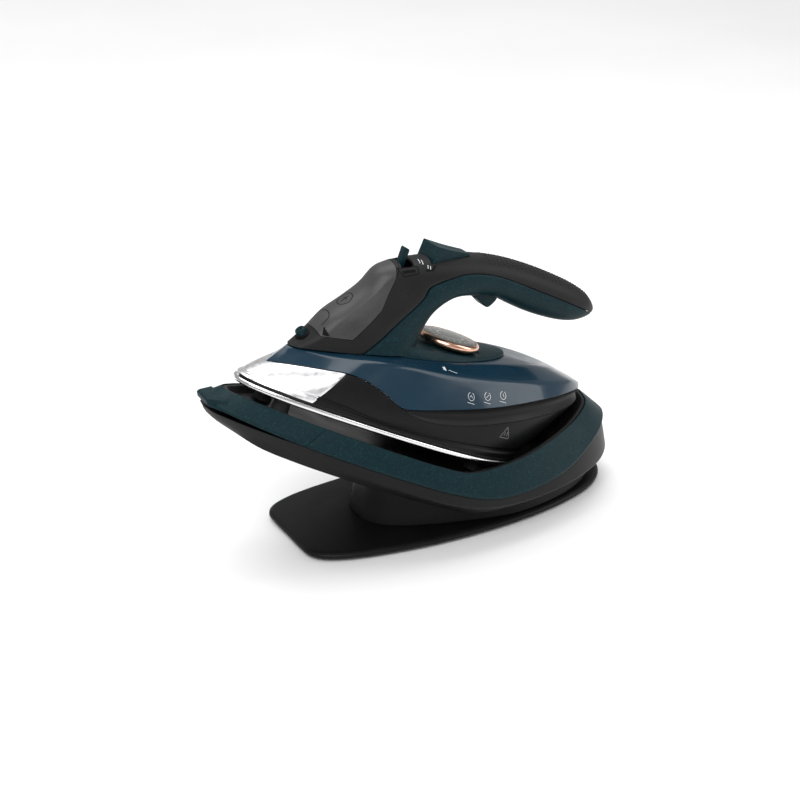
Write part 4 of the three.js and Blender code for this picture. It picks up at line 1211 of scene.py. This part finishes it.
def nozzle_recess_shade():
    """Near-black ring round the foot of the nozzle: painted shade standing in for the dark gap of the recess
    there.
    """
    inner = NOZZLE_RADIUS + 0.05
    section = [(inner, -4), (5.6, -4), (5.6, 0.6), (inner, 1.4)]
    shade_ring = turned("nozzle_recess_shade", on_nozzle(-1), on_nozzle(1), section, 40)
    return mark(shade_ring, SEAM_AND_SHADE_BLACK, "iron", "spray_nozzle", "black_plastic")


def door_notches(door):
    """Black triangular reliefs at the door's lower front corners."""
    tree = surface_of(door)
    strokes = []
    for side in (-1, 1):
        for k in range(5):
            r = 41.5 + 0.9 * k
            line = [(r, 49.5 + 0.25 * k), (r, 54.6 - 0.95 * k)]
            strokes.append(ribbon("notch", tree, line, 1.3, side=side))
    return mark(merged("door_notches", strokes), SEAM_AND_SHADE_BLACK, "fill_door", "fill_door", "black_plastic")


soleplate()
nose_cover()
skirt_piece = skirt()
tank_band()
tank_piece = water_tank()
shell_piece, door_piece = handle_pieces()
underside()
dial_piece = dial()
tank_prints(tank_piece)
hot_mark(skirt_piece)
side_seams(shell_piece)
lever_prints(shell_piece)
door_marks(door_piece)
grip_dots(shell_piece)
dial_ticks(dial_piece)
nozzle_recess_shade()
door_notches(door_piece)
thumb_button()
steam_lever()
trigger()
spray_nozzle()
lock_lever()
cradle_rim()
cradle_tray()
cradle_shell()
foot_plate()
pedestal()

# ---------------------------------------------------------------- carried-over CAD nodes
slots = {part["node"]: part["material_slot"] for part in frame["record"]["subparts"]}
for name, node in frame["nodes"].items():
    node.data.materials.clear()
    node.data.materials.append(MATERIALS[slots[name]])


# ---------------------------------------------------------------- floor, light and camera
def floor():
    bpy.ops.mesh.primitive_plane_add(size=12)
    plane = bpy.context.object
    plane.name = "floor"
    material, tree, surface = shader("floor_paper", (0.82, 0.82, 0.82), 0.6)
    tree.links.new(ramp(tree, grain(tree, 3), [(0.3, (0.81, 0.81, 0.81)), (0.7, (0.84, 0.84, 0.84))]),
                   surface.inputs["Base Color"])
    plane.data.materials.append(material)


def area_light(name, position, target, size, power):
    light = bpy.data.lights.new(name, "AREA")
    light.shape = "RECTANGLE"
    light.size = size[0]
    light.size_y = size[1]
    light.energy = power
    lamp = bpy.data.objects.new(name, light)
    lamp.location = position
    lamp.rotation_euler = (Vector(target) - Vector(position)).to_track_quat("-Z", "Y").to_euler()
    bpy.context.scene.collection.objects.link(lamp)


def studio():
    floor()
    area_light("key", (-0.9, -1.1, 1.5), (0, 0, 0.08), (1.2, 1.2), 24)
    area_light("side", (1.3, -0.7, 0.9), (0, 0, 0.08), (0.8, 1.4), 10)
    area_light("top", (0.1, 0.5, 1.6), (0, 0, 0.1), (1.6, 1.0), 16)
    area_light("backdrop", (0, 4.2, 3), (0, 4.2, 0), (10, 5.5), 210)
    bpy.data.objects["backdrop"].visible_glossy = False
    world = bpy.data.worlds.new("studio")
    bpy.context.scene.world = world
    world.use_nodes = True
    world.node_tree.nodes["Background"].inputs["Color"].default_value = (1, 1, 1, 1)
    world.node_tree.nodes["Background"].inputs["Strength"].default_value = 0.42
    bpy.context.scene.view_settings.view_transform = "Standard"


CAMERA_TARGET = Vector((-0.0196, -0.0138, 0.098))
CAMERA_AZIMUTH = math.radians(-28)
CAMERA_ELEVATION = math.radians(24)
CAMERA_DISTANCE = 1.2


def camera():
    data = bpy.data.cameras.new("camera")
    data.lens = 75.06
    data.sensor_width = 36
    view = bpy.data.objects.new("camera", data)
    away = Vector((math.sin(CAMERA_AZIMUTH) * math.cos(CAMERA_ELEVATION),
                   -math.cos(CAMERA_AZIMUTH) * math.cos(CAMERA_ELEVATION), math.sin(CAMERA_ELEVATION)))
    view.location = CAMERA_TARGET + away * CAMERA_DISTANCE
    view.rotation_euler = (-away).to_track_quat("-Z", "Y").to_euler()
    bpy.context.scene.collection.objects.link(view)
    bpy.context.scene.camera = view


studio()
camera()
